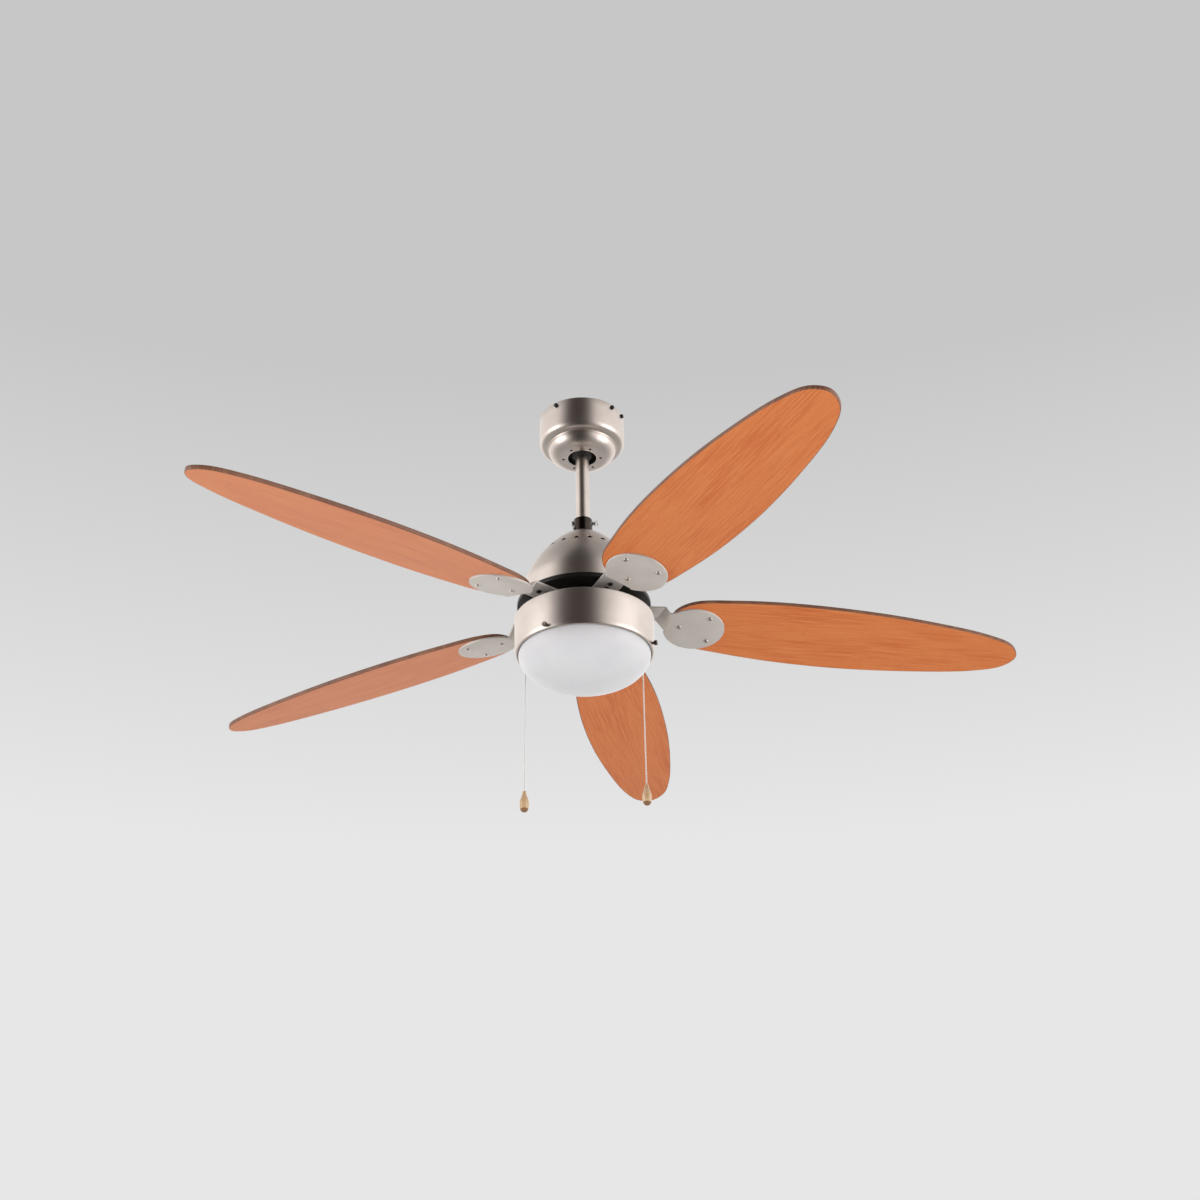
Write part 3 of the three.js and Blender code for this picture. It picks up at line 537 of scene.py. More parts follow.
bow = PIN + CLIP_WIRE + 0.8
wire_route = through([
    (0, 0, -7), (0, 0, 0), (0, 0, 6), (0.6, 0, 9), (2.6, 0, 10.4), (4.4, 0, 8.6),
    (bow - 0.6, 0, 5), (bow, 0, 1), (bow - 0.4, 0, -3), (bow + 1.4, 0, -6.5)])
clip = swept(wire_route, [CLIP_WIRE] * len(wire_route), sides=12)
clip.transform(pin_place @ Matrix.Translation((CLIP_AT * MM, 0, 0)))
keep(clip, "spring_clip", "hanging", "plated_steel", replaces=["clevis_clip"], sharp=60,
     dress="bright_chain")

seat = facing(205, x=COLLAR + FIT, z=150)
collar_screw = fitted_screw(seat, radius=3.4, height=2.7, length=4)
keep(collar_screw, "collar_screw_head", "hanging", "plated_steel", replaces=["collar_screw"], sharp=40)

# %% [markdown]
# ## The motor's dome
#
# The dome is the biggest bright surface on the fan, so its curve has to be quiet: one long bend
# from the crown to the shoulder, a short straight side and a rolled lip. Twenty vents sit in a ring.

# %% The motor's dome
dome_top = top_of("dome_cover")
dome_foot = foot_of("dome_cover")
LIP = 1.8
DOME = reach_of("dome_cover") - LIP
CROWN = (22, dome_top - 1)
SHOULDER = 48
dome_line = [(COLLAR + 2 * FIT, dome_top), CROWN]
dome_line += bend(CROWN, (48, dome_top - 14.6), (DOME - 5, SHOULDER + 32), (DOME, SHOULDER), 34)
dome_line += [(DOME, 40), (DOME, 32), (DOME, dome_foot + 4)]
dome_line += bend(
    (DOME, dome_foot + 4), (DOME, dome_foot + 1.5), (DOME + 0.6, dome_foot), (DOME + LIP, dome_foot), 5)
bm = turned(dome_line, steps=120)
punch_ring(bm, count=20, first=9, reach=64, height=98.8, radius=4, base=HUB)
# Painted shade: the dome's inside wears the same dark lining.
dome = keep(bm, "dome_shell", "hanging", "nickel", replaces=["dome_cover"], extras=["primer"])
walled(dome, SHEET, lined=True)

# %% [markdown]
# ## The rotor
#
# Under the dome the motor turns. Its shell is a plain casting, its flange a black disc, and the
# blade irons are screwed to the underside of that disc. Only a dark gap shows from the room.

# %% The rotor
FLANGE = reach_of("rotor_flange")
flange_top = top_of("rotor_flange")
FLANGE_FOOT = 11.5
WEB = 3.5
BOSS = 13.3
BOSS_FOOT = 2.2
BORE = SHAFT + 2
flange_line = [(BORE, BOSS_FOOT), (BOSS + 4, BOSS_FOOT), (BOSS + 4, FLANGE_FOOT)]
flange_line += rounding((FLANGE - 1.4, FLANGE_FOOT + 1.4), 1.4, -90, 0, 4)
flange_line += rounding((FLANGE - 1.6, flange_top - 1.6), 1.6, 0, 90, 4)
flange_line += [(FLANGE - 7, flange_top), (FLANGE - 10, FLANGE_FOOT + WEB), (BOSS, FLANGE_FOOT + WEB)]
flange_line += [(BOSS, BOSS_FOOT + 1.2), (BORE, BOSS_FOOT + 1.2)]
flange = turned(flange_line, steps=112, closed=True)
keep(flange, "flange_disc", "rotor", "black_enamel", replaces=["rotor_flange"])

shell_top, shell_foot = top_of("rotor_shell"), foot_of("rotor_shell")
SHELL = reach_of("rotor_shell")
shell_line = [(BORE, shell_top), (BOSS + 4, shell_top), (BOSS + 18, shell_top - 2)]
shell_line += bend((BOSS + 18, shell_top - 2), (56, shell_top - 7), (SHELL, shell_top - 18), (SHELL, 64))
shell_line += [(SHELL, shell_foot)]
bm = turned(shell_line, steps=80)
shell = keep(bm, "rotor_casting", "rotor", "cast_alloy", replaces=["rotor_shell"])
walled(shell, 2.4, edge=0.5)

# %% [markdown]
# ## Blades
#
# A blade is a thin board with a leaf outline. A closed curve through eighteen points gives the
# outline, one face fills it, and that face is extruded and bevelled. Printed foil covers the
# underside, so its grain follows the board: the piece keeps a UV map that is simply its own length
# and width in metres, laid flat before the board is turned to its place.

# %% Blades
ROOT = HOUSING + 24.7
TIP = 663
BOARD = 6
ROUTED = 1.1
FOIL_MARGIN = 1.5
# Shares of the way from root to tip, and distances to the side in millimetres.
LEAF = [
    (0, 8), (0.013, -22), (0.06, -42), (0.17, -50.5), (0.33, -53.6), (0.55, -47),
    (0.73, -34), (0.9, -14.5), (0.978, 4), (1, 27), (0.972, 50), (0.89, 66),
    (0.7, 78), (0.5, 81.8), (0.31, 76.5), (0.15, 64.5), (0.06, 54), (0.013, 37),
]
BLADES = 5
FIRST_BLADE = -66.9
TILTED = Euler((math.radians(-13.1), 0, 0)).to_matrix().to_4x4()
DROOPED = Euler((0, math.radians(2.6), 0)).to_matrix().to_4x4()
ALONG_BLADE = DROOPED @ TILTED
# Where on the sheet of foil a blade is cut from, and how far on the next one is, in metres.
FIRST_CUT = 0.1
NEXT_CUT = 0.16


def smooth_loop(points, count):
    """A closed curve through the points, with count steps from each to the next.

    Slopes allow for the gaps on both sides of a point, so that close points don't bulge.
    """
    loop = []
    total = len(points)
    for index in range(total):
        before, here, ahead, after = (Vector(points[(index + step - 1) % total]) for step in range(4))
        pairs = ((before, here), (here, ahead), (ahead, after))
        back, gap, on = ((second - first).length ** 0.5 for first, second in pairs)
        leave = (here - before) / back - (ahead - before) / (back + gap) + (ahead - here) / gap
        arrive = (ahead - here) / gap - (after - here) / (gap + on) + (after - ahead) / on
        first_pull, second_pull = here + leave * gap / 3, ahead - arrive * gap / 3
        loop += interpolate_bezier(here, first_pull, second_pull, ahead, count + 1)[:-1]
    return loop


def board(outline, cut):
    """A flat board along X, with a grain map that starts at its own cut of the foil."""
    bm = bmesh.new()
    bottom = bm.faces.new([bm.verts.new((point.x * MM, point.y * MM, 0)) for point in outline])
    grown = bmesh.ops.extrude_face_region(bm, geom=[bottom], use_keep_orig=True)["geom"]
    top = next(item for item in grown if isinstance(item, bmesh.types.BMFace))
    bmesh.ops.translate(bm, verts=top.verts, vec=(0, 0, BOARD * MM))
    bmesh.ops.recalc_face_normals(bm, faces=bm.faces)
    rims = [edge for face in (bottom, top) for edge in face.edges]
    bmesh.ops.bevel(
        bm, geom=rims, offset=ROUTED * MM, affect="EDGES", segments=3, profile=0.5, material=-1)
    largest = sorted(bm.faces, key=lambda face: face.calc_area())[-2:]
    under, over = ({flat} for flat in sorted(largest, key=lambda face: face.normal.z))
    for flat in (under, over):
        flat.update(bmesh.ops.inset_individual(bm, faces=[*flat], thickness=FOIL_MARGIN * MM)["faces"])
    grain = bm.loops.layers.uv.new("grain")
    for face in bm.faces:
        face.material_index = 0 if face in under else 2 if face in over else 1
        for corner in face.loops:
            place = corner.vert.co
            corner[grain].uv = (place.x, place.y + cut)
    bmesh.ops.translate(bm, verts=bm.verts, vec=(0, 0, FIT * MM))
    return bm


leaf = smooth_loop([(ROOT + share * (TIP - ROOT), side) for share, side in LEAF], 6)
for number in range(BLADES):
    bm = board(leaf, FIRST_CUT + NEXT_CUT * number)
    bm.transform(facing(FIRST_BLADE + 360 * number / BLADES) @ ALONG_BLADE)
    node = f"blade_{number + 1}"
    blade = keep(bm, node + "_board", "rotor", "cherry_wood", replaces=[node],
                 extras=("board_edge", "board_top"))
    blade.visible_glossy = False

# %% [markdown]
# ## Blade irons
#
# An iron is pressed from one strip: level under the rotor, folded down, and opened out into an
# oval plate that carries the blade. It is modelled as one sheet without thickness. The plate's
# outline is an ellipse whose inner end is swapped for the fold line, so strip and plate share an
# edge, and the folds get their radius from a bevel.

# %% Blade irons
IRON = 3
IRON_HALF = 19.5
IRON_OFFSET = 3.5
IRON_LEVEL = FLANGE_FOOT - FIT
FOLD = 2.5
STRIP_START = 66
PLATE = (HOUSING + 61.7, 11)
PLATE_HALF = (46, 44)
PLATE_SCREWS = [(PLATE[0] + x, PLATE[1] + y, -IRON) for x, y in ((-22.5, -3), (21, -26), (22, 24))]
ROTOR_SCREWS = [(x, IRON_OFFSET, IRON_LEVEL - IRON) for x in (76, 90)]


def upper_fold(side):
    """Where the strip turns down, at a distance to the side of its middle."""
    return HOUSING + 12.7 - 0.3 * side


def lower_fold(side):
    """Where the strip meets the plane of the plate."""
    return HOUSING + 22 - 0.09 * side


def blade_iron():
    """The pressed iron as a sheet: its top faces, with soft folds."""
    bm = bmesh.new()
    sides = (-IRON_HALF, IRON_HALF)
    start, turn = [
        [bm.verts.new(Vector((x, side + IRON_OFFSET, IRON_LEVEL)) * MM) for side, x in zip(sides, row)]
        for row in ((STRIP_START, STRIP_START), map(upper_fold, sides))]
    hinge = [bm.verts.new(ALONG_BLADE @ (Vector((lower_fold(side), side, 0)) * MM)) for side in sides]
    oval = []
    segments = 72
    for step in range(segments):
        angle = math.tau * step / segments
        x = PLATE[0] + PLATE_HALF[0] * math.cos(angle)
        y = PLATE[1] + PLATE_HALF[1] * math.sin(angle)
        if x > PLATE[0] or abs(y) > IRON_HALF + 1:
            oval.append((x, y))
        elif hinge[0] not in oval:
            oval += [hinge[1], hinge[0]]
    corners = [
        item if isinstance(item, bmesh.types.BMVert)
        else bm.verts.new(ALONG_BLADE @ (Vector((*item, 0)) * MM)) for item in oval]
    bm.faces.new(corners)
    for near, far in ((start, turn), (turn, hinge)):
        bm.faces.new((near[0], far[0], far[1], near[1]))
    bmesh.ops.recalc_face_normals(bm, faces=bm.faces)
    if sum(face.normal.z for face in bm.faces) < 0:
        bmesh.ops.reverse_faces(bm, faces=bm.faces)
    folds = [edge for edge in bm.edges if len(edge.link_faces) == 2]
    bmesh.ops.bevel(
        bm, geom=folds, offset=FOLD * MM, affect="EDGES", segments=4, profile=0.5, material=-1)
    return bm


DOWN = Matrix.Rotation(math.pi, 4, "X")
IRON_SCREW = 4


def screws_under(plane, seats, height):
    """Cross-slot screws that point down, at places on a plane, in millimetres."""
    bm = bmesh.new()
    for seat in seats:
        place = plane @ Matrix.Translation(Vector(seat) * MM) @ DOWN
        add_copy(bm, cross_screw(IRON_SCREW, height), place)
    return bm


for number in range(BLADES):
    place = facing(FIRST_BLADE + 360 * number / BLADES)
    node = f"blade_iron_{number + 1}"
    bm = blade_iron()
    bm.transform(place)
    iron = keep(bm, node + "_pressing", "rotor", "nickel", replaces=[node], sharp=20, dress="satin_plate")
    iron.visible_glossy = False
    walled(iron, IRON, edge=0.5)
    bm = screws_under(place @ ALONG_BLADE, PLATE_SCREWS, height=1.8)
    keep(bm, node + "_plate_screws", "rotor", "nickel", sharp=40)
    bm = screws_under(place, ROTOR_SCREWS, height=2.2)
    keep(bm, node + "_rotor_screws", "rotor", "black_enamel", sharp=40)

# %% [markdown]
# ## The switch housing
#
# Below the blades a plain drum hides the switches. It doesn't turn. Its top corner is rounded by
# the press, and its foot is rolled in a little so that no raw edge faces the room.

# %% The switch housing
housing_top, housing_foot = top_of("switch_housing"), foot_of("switch_housing")
DRAWN = HOUSING - 0.8
housing_line = [(70, housing_top), (82, housing_top), (HOUSING - 3, housing_top)]
housing_line += rounding((HOUSING - 3, housing_top - 3), 3, 90, 0, 6)[1:]
housing_line += [(HOUSING, -20), (HOUSING - 0.3, -34), (DRAWN, -57)]
housing_line += bend(
    (DRAWN, -57), (DRAWN - 0.1, -63.5), (DRAWN - 0.4, housing_foot), (HOUSING - 5, housing_foot))
bm = turned(housing_line, steps=128)
housing = keep(bm, "housing_drum", "hanging", "nickel", replaces=["switch_housing"])
walled(housing, SHEET)

# %% [markdown]
# ## The glass bowl
#
# The bowl is blown opal glass: a neck that the thumb screws grip, a soft rim and a flattened
# half-ellipse below. It is one line, up the inside and down the outside, so the wall has its real
# thickness and the rim is soft.

# %% The glass bowl
NECK = HOUSING - 7.8
BOWL = NECK + 1.8
GLASS = 3
NECK_TOP = top_of("glass_bowl")
BOWL_RIM = -66
depth = BOWL_RIM - foot_of("glass_bowl")


def half_bowl(reach, fall, count=26):
    """Points of a quarter ellipse, from below the rim to the middle of the bowl."""
    angles = [math.pi / 2 * step / count for step in range(1, count)]
    curve = [(reach * math.cos(angle), BOWL_RIM - fall * math.sin(angle)) for angle in angles]
    return [*curve, (0, BOWL_RIM - fall)]


bowl_line = [(NECK - GLASS + 0.8, NECK_TOP), (NECK - 0.8, NECK_TOP), (NECK, NECK_TOP - 0.8)]
bowl_line += [(NECK, -57), (NECK, BOWL_RIM + 5)]
bowl_line += bend((NECK, BOWL_RIM + 5), (NECK, BOWL_RIM + 3), (BOWL, BOWL_RIM + 2.5), (BOWL, BOWL_RIM), 6)
bowl_line += half_bowl(BOWL, depth)
inner_line = [(NECK - GLASS, NECK_TOP - 0.8), (NECK - GLASS, BOWL_RIM + 3)]
inner_line += half_bowl(BOWL - GLASS, depth - GLASS)
bm = turned([*reversed(inner_line), *bowl_line], steps=128)
keep(bm, "bowl_glass", "hanging", "opal_glass", replaces=["glass_bowl"])

# %% [markdown]
# ## Thumb screws
#
# Three thumb screws hold the bowl by its neck. They are turned by fingers, so their heads are
# knurled. The knurl is a spin with every second column of corners pulled in.

# %% Thumb screws
# The screws' places round the drum, in degrees, and a head's radius and length.
THUMB_SCREWS = (238.5, 344, 111)
THUMB_HEIGHT = -61.5
THUMB_HEAD = (3.6, 5)
THUMB_COLUMNS = 28
KNURL = 0.32


def thumb_screw():
    """A knurled screw along +Z that starts at the glass, in millimetres from the axis."""
    radius, length = THUMB_HEAD
    tip, seat = NECK + 0.6, HOUSING + 1.5
    line = [(0, tip), (1.4, tip), (2, tip + 0.8), (2, seat - 0.2), (2.6, seat)]
    line += [(radius - 0.5, seat), (radius, seat + 0.5), (radius, seat + length - 0.5)]
    line += [(radius - 0.5, seat + length), (1.6, seat + length), (0, seat + length - 0.5)]
    bm = turned(line, steps=THUMB_COLUMNS, base=0)
    for corner in bm.verts:
        arm = corner.co.xy.length / MM
        column = round(math.atan2(corner.co.y, corner.co.x) / math.tau * THUMB_COLUMNS)
        if arm > radius - 0.6 and column % 2:
            corner.co.xy *= 1 - KNURL / arm
    return bm


# Painted reflection: the thumb screws are nickel, dressed in a darker nickel for the dark their heads
# mirror.
for number, angle in enumerate(THUMB_SCREWS, 1):
    bm = thumb_screw()
    bm.transform(facing(angle, z=THUMB_HEIGHT) @ OUTWARDS)
    node = f"thumb_screw_{number}"
    keep(bm, node + "_knurled", node + "_body", "nickel", replaces=[node], sharp=25, dress="screw_metal")

# %% [markdown]
# ## Chain guides
#
# Each chain leaves the drum through a small elbow that ends in a bell mouth, so the beads run
# freely at any angle. The elbow is a bent tube with a nut where it meets the drum, and its mouth
# is an inset pushed inwards.


# %% Chain guides
GUIDE = 3.6
THROAT = 0.86 * GUIDE
GUIDE_AXIS = -30 - GUIDE
GUIDE_START = 96
ELBOW = 4


def chain_guide():
    """An elbow that leaves the drum along +X and turns down to the bell mouth."""
    straight_end = CHAIN_REACH - ELBOW
    route = [(GUIDE_START, 0, GUIDE_AXIS), (straight_end, 0, GUIDE_AXIS)]
    route += [(x, 0, z) for x, z in rounding((straight_end, GUIDE_AXIS - ELBOW), ELBOW, 90, 0, 7)[1:]]
    route += [(CHAIN_REACH, 0, MOUTH + rise) for rise in (4, 1.5, 0.4, 0)]
    bm = swept(route, [THROAT] * (len(route) - 3) + [GUIDE * 0.9, GUIDE, GUIDE * 0.93])
    mouth_face = min(bm.faces, key=lambda face: face.calc_center_median().z)
    bmesh.ops.inset_individual(bm, faces=[mouth_face], thickness=1 * MM)
    deep = bmesh.ops.extrude_discrete_faces(bm, faces=[mouth_face])["faces"][0]
    bmesh.ops.translate(bm, verts=deep.verts, vec=(0, 0, 6 * MM))
    bmesh.ops.translate(bm, verts=bm.verts, vec=(0, 0, HUB * MM))
    nut = [(0, HOUSING + FIT), (GUIDE + 1.6, HOUSING + FIT), (GUIDE + 1.6, HOUSING + 1.4)]
    nut += [(GUIDE + 0.9, HOUSING + 2), (THROAT, HOUSING + 2), (0, HOUSING + 2)]
    add_copy(bm, turned(nut, steps=32, base=0), facing(0, z=GUIDE_AXIS) @ OUTWARDS)
    return bm


for name, (angle, _) in CHAINS.items():
    bm = chain_guide()
    bm.transform(Matrix.Rotation(math.radians(angle), 4, "Z"))
    node = name + "_chain_guide"
    keep(bm, node + "_elbow", "hanging", "nickel", replaces=[node])

# %% [markdown]
# ## Pendants
#
# A pendant is a turned wooden drop. Its foot shows end grain, so the last faces have a finish of
# their own. The drop hangs on the chain's free end and goes where the chain goes.

# %% Pendants
DROP = 7
DROP_LENGTH = 31.5
END_GRAIN = 4
for name, (angle, length) in CHAINS.items():
    top = MOUTH - length - FIT
    low = top - DROP_LENGTH
    line = [(0, top), (1.9, top), (2.6, top - 0.7), (2.9, top - 2.5)]
    line += bend((2.9, top - 2.5), (3.4, top - 9), (DROP, top - 12), (DROP, top - 20), 12)
    line += bend((DROP, top - 20), (DROP, top - 26), (5.4, low + 2), (3.4, low + 0.3), 8)
    line += [(1.5, low), (0, low)]
    drop = turned(line, steps=40)
    for face in drop.faces:
        face.material_index = int(face.calc_center_median().z / MM - HUB < low + END_GRAIN)
    drop.transform(Matrix.Translation(facing(angle, x=CHAIN_REACH, z=-HUB).translation))
    fob = keep(drop, name + "_wooden_drop", name + "_pendant", "pale_wood",
               replaces=[name + "_chain_fob"], extras=["wood_end"])
    spot = facing(angle, x=CHAIN_REACH).translation

# %% [markdown]
# ## Nodes and wires
#
# A finish is a small tree of nodes. These helpers make the nodes that nearly every finish needs,
# and join them, so that the finishes below read as lists of what the surface is like.


# %% Nodes and wires
def wire(tree, source, output, target, entry):
    """Joins an output of one node to an input of another."""
    tree.links.new(source.outputs[output], target.inputs[entry])


def noise_node(tree, scale, detail=2.0, roughness=0.5):
    """A noise texture with constant settings."""
    node = tree.nodes.new("ShaderNodeTexNoise")
    node.inputs["Scale"].default_value = scale
    node.inputs["Detail"].default_value = detail
    node.inputs["Roughness"].default_value = roughness
    return node


def level_part(tree, parts, operation):
    """The level part of a vector: how long it is, or its direction."""
    flat = tree.nodes.new("ShaderNodeCombineXYZ")
    wire(tree, parts, "X", flat, "X")
    wire(tree, parts, "Y", flat, "Y")
    level = tree.nodes.new("ShaderNodeVectorMath")
    level.operation = operation
    wire(tree, flat, 0, level, 0)
    return level


def split_place(tree, kind):
    """The three numbers of a place, for any kind of texture coordinate."""
    place = tree.nodes.new("ShaderNodeTexCoord")
    parts = tree.nodes.new("ShaderNodeSeparateXYZ")
    wire(tree, place, kind, parts, 0)
    return parts


def rgb(red, green, blue):
    """A linear colour from display values between 0 and 255."""
    channels = (value / 255 for value in (red, green, blue))
    linear = [c / 12.92 if c <= 0.04045 else ((c + 0.055) / 1.055) ** 2.4 for c in channels]
    return (*linear, 1)


def fresh_tree(slot):
    """The material of a slot with a Principled shader, ready to be wired."""
    material = finish_of(slot)
    material.use_nodes = True
    tree = material.node_tree
    tree.nodes.clear()
    end = tree.nodes.new("ShaderNodeOutputMaterial")
    shader = tree.nodes.new("ShaderNodeBsdfPrincipled")
    wire(tree, shader, 0, end, "Surface")
    return tree, shader


def mapped(tree, source, output, low, high, start=0.0, end=1.0):
    """A value that runs from start to end, spread over the range from low to high."""
    node = tree.nodes.new("ShaderNodeMapRange")
    for entry, value in (("From Min", start), ("From Max", end), ("To Min", low), ("To Max", high)):
        node.inputs[entry].default_value = value
    wire(tree, source, output, node, "Value")
    return node


def two_colours(tree, source, output, first, second, low=0.35, high=0.65):
    """A blend of two colours, led by a value."""
    ramp = tree.nodes.new("ShaderNodeValToRGB")
    ramp.color_ramp.elements[0].position = low
    ramp.color_ramp.elements[0].color = first
    ramp.color_ramp.elements[1].position = high
    ramp.color_ramp.elements[1].color = second
    wire(tree, source, output, ramp, "Fac")
    return ramp


def bumped(tree, shader, source, output, distance, strength=0.5):
    """Feeds a height in metres into the shader's normal."""
    bump = tree.nodes.new("ShaderNodeBump")
    bump.inputs["Strength"].default_value = strength
    bump.inputs["Distance"].default_value = distance
    wire(tree, source, output, bump, "Height")
    wire(tree, bump, 0, shader, "Normal")


print("a finish is a shader, a few nodes and their wires")

# %% [markdown]
# ## Shared effects
#
# Two effects are used by several finishes. Lathe lines follow the turning of a round part, so they
# depend only on the distance from the axis and the height. Wood grain is noise that is stretched
# along one direction. Each is a node group with its own inputs, placed wherever it is needed.

# %% Shared effects
FINENESS = 2600.0


def new_group(name, inputs, outputs):
    """An empty node group with number inputs and outputs, and its two end nodes."""
    group = bpy.data.node_groups.new(name, "ShaderNodeTree")
    for label, kind, default in inputs:
        socket = group.interface.new_socket(label, in_out="INPUT", socket_type=kind)
        if default is not None:
            socket.default_value = default
    for label, kind in outputs:
        group.interface.new_socket(label, in_out="OUTPUT", socket_type=kind)
    start = group.nodes.new("NodeGroupInput")
    end = group.nodes.new("NodeGroupOutput")
    return group, start, end


def lathe_lines():
    """Fine rings round the axis: a value from 0 to 1 at each height and distance."""
    group, start, end = new_group(
        "lathe lines", [("Fineness", "NodeSocketFloat", FINENESS)], [("Lines", "NodeSocketFloat")])
    parts = split_place(group, "Object")
    reach = level_part(group, parts, "LENGTH")
    section = group.nodes.new("ShaderNodeCombineXYZ")
    wire(group, reach, "Value", section, "X")
    wire(group, parts, "Z", section, "Z")
    lines = noise_node(group, FINENESS, 1.0)
    wire(group, section, 0, lines, "Vector")
    wire(group, start, "Fineness", lines, "Scale")
    wire(group, lines, 0, end, "Lines")
    return group


def long_grain():
    """Grain along the first direction of a vector: broad figure, streaks and short dark pores."""
    group, start, end = new_group(
        "long grain", [("Place", "NodeSocketVector", None)],
        [("Figure", "NodeSocketFloat"), ("Streaks", "NodeSocketFloat"), ("Pores", "NodeSocketFloat")])
    for label, stretch, detail, waver in (
            ("Figure", (5, 34, 1), 3.0, 0.6),
            ("Streaks", (14, 420, 1), 4.0, 0.2),
            ("Pores", (80, 1100, 1), 2.0, 0.2)):
        mapping = group.nodes.new("ShaderNodeMapping")
        mapping.inputs["Scale"].default_value = stretch
        wire(group, start, "Place", mapping, "Vector")
        noise = noise_node(group, 1.0, detail, 0.55)
        noise.inputs["Distortion"].default_value = waver
        wire(group, mapping, 0, noise, "Vector")
        wire(group, noise, 0, end, label)
    return group


LATHE = lathe_lines()
GRAIN = long_grain()
print("effects:", LATHE.name, "and", GRAIN.name)

# %% [markdown]
# ## Metal finishes
#
# Satin nickel is brushed and lacquered: the lines are too fine to see one by one, and they show as
# a reflection that is smeared up and down. Small changes in roughness keep a big plain cover from
# looking like plastic. Castings, laminated steel and enamel differ in how coarse their skin is. One
# function makes the metals from a pair of close colours, a range of roughness and a skin; laminated
# steel and wound copper have functions of their own, and enamel is made with the paints below.


# %% Metal finishes
def placed_noise(tree, scale, detail=2.0):
    """Noise on object coordinates, in metres."""
    noise = noise_node(tree, scale, detail)
    wire(tree, tree.nodes.new("ShaderNodeTexCoord"), "Object", noise, "Vector")
    return noise


METAL_CLOUDS = 28.0
PAINT_CLOUDS = 16.0


def clouds(tree, shader, scale, dark, light):
    """Two close colours in soft clouds, so that no surface is one flat colour."""
    cloud = placed_noise(tree, scale, 3.0)
    wire(tree, two_colours(tree, cloud, 0, dark, light), 0, shader, "Base Color")


def skinned(tree, shader, source, output, roughness, height, strength=0.5):
    """A skin whose one value moves the roughness over a range and stands a little proud."""
    wire(tree, mapped(tree, source, output, *roughness), 0, shader, "Roughness")
    bumped(tree, shader, source, output, height, strength)


def rings(tree, fineness=FINENESS):
    """The lathe lines, placed in a material."""
    lines = tree.nodes.new("ShaderNodeGroup")
    lines.node_tree = LATHE
    lines.inputs["Fineness"].default_value = fineness
    return lines


def metal(slot, dark, light, roughness, lines=False, skin=900.0, depth=0.00002):
    """A metal with two close colours and a range of roughness."""
    tree, shader = fresh_tree(slot)
    shader.inputs["Metallic"].default_value = 1
    clouds(tree, shader, METAL_CLOUDS, dark, light)
    fine = rings(tree) if lines else placed_noise(tree, skin)
    skinned(tree, shader, fine, 0, roughness, depth)
    return shader


metal("nickel", rgb(200, 189, 182), rgb(208, 198, 191), (0.33, 0.4), lines=True, depth=0.000003)
plate = metal("satin_plate", rgb(216, 209, 203), rgb(222, 216, 210), (0.62, 0.72), skin=1500,
              depth=0.000004)
plate.inputs["Metallic"].default_value = 0.6
metal("dark_nickel", rgb(58, 51, 46), rgb(72, 64, 58), (0.2, 0.28), lines=True, depth=0.000003)
# Painted reflection: a darker nickel for the thumb screws, standing in for the dark they mirror.
metal("screw_metal", rgb(104, 94, 86), rgb(122, 112, 103), (0.3, 0.4), skin=900, depth=0.000004)
metal("bright_chain", rgb(232, 229, 225), rgb(240, 238, 234), (0.38, 0.48), skin=900, depth=0.000004)
metal("plated_steel", rgb(168, 170, 172), rgb(196, 197, 196), (0.32, 0.5), skin=420)
metal("cast_alloy", rgb(116, 114, 110), rgb(142, 139, 134), (0.5, 0.75), skin=700, depth=0.00008)


def laminated_steel():
    """Thin steel sheets in a stack: dark lines at even heights."""
    tree, shader = fresh_tree("laminations")
    shader.inputs["Metallic"].default_value = 1
    sheets = tree.nodes.new("ShaderNodeTexWave")
    sheets.bands_direction = "Z"
    sheets.inputs["Scale"].default_value = 320
    sheets.inputs["Distortion"].default_value = 0.4
    wire(tree, tree.nodes.new("ShaderNodeTexCoord"), "Object", sheets, "Vector")
    colour = two_colours(tree, sheets, "Fac", rgb(70, 68, 68), rgb(140, 138, 138), 0.1, 0.5)
    wire(tree, colour, 0, shader, "Base Color")
    skinned(tree, shader, sheets, "Fac", (0.65, 0.45), 0.0001)


def wound_copper():
    """Varnished wire, wound round the core: bright rings with dark gaps."""
    tree, shader = fresh_tree("copper_wire")
    shader.inputs["Metallic"].default_value = 1
    shader.inputs["Coat Weight"].default_value = 0.6
    turns = rings(tree, fineness=900)
    colour = two_colours(tree, turns, 0, rgb(96, 44, 20), rgb(198, 120, 70))
    wire(tree, colour, 0, shader, "Base Color")
    skinned(tree, shader, turns, 0, (0.55, 0.25), 0.0002, strength=0.8)


laminated_steel()
wound_copper()
print("metals are ready")

# %% [markdown]
# ## Paint, plastic, glass and porcelain
#
# None of these is one flat colour either. Enamel has a faint orange-peel, moulded plastic a fine
# texture from its mould, and opal glass is milky all through, with a clear skin that catches light.


# %% Paint, plastic, glass and porcelain
def coated(slot, dark, light, roughness, skin, depth, coat=0.0, specular=0.5):
    """A non-metal with two close colours, a fine skin and an optional clear coat."""
    tree, shader = fresh_tree(slot)
    shader.inputs["Coat Weight"].default_value = coat
    shader.inputs["Coat Roughness"].default_value = 0.12
    shader.inputs["Specular IOR Level"].default_value = specular
    clouds(tree, shader, PAINT_CLOUDS, dark, light)
    skinned(tree, shader, placed_noise(tree, skin), 0, roughness, depth, strength=0.3)
    return shader


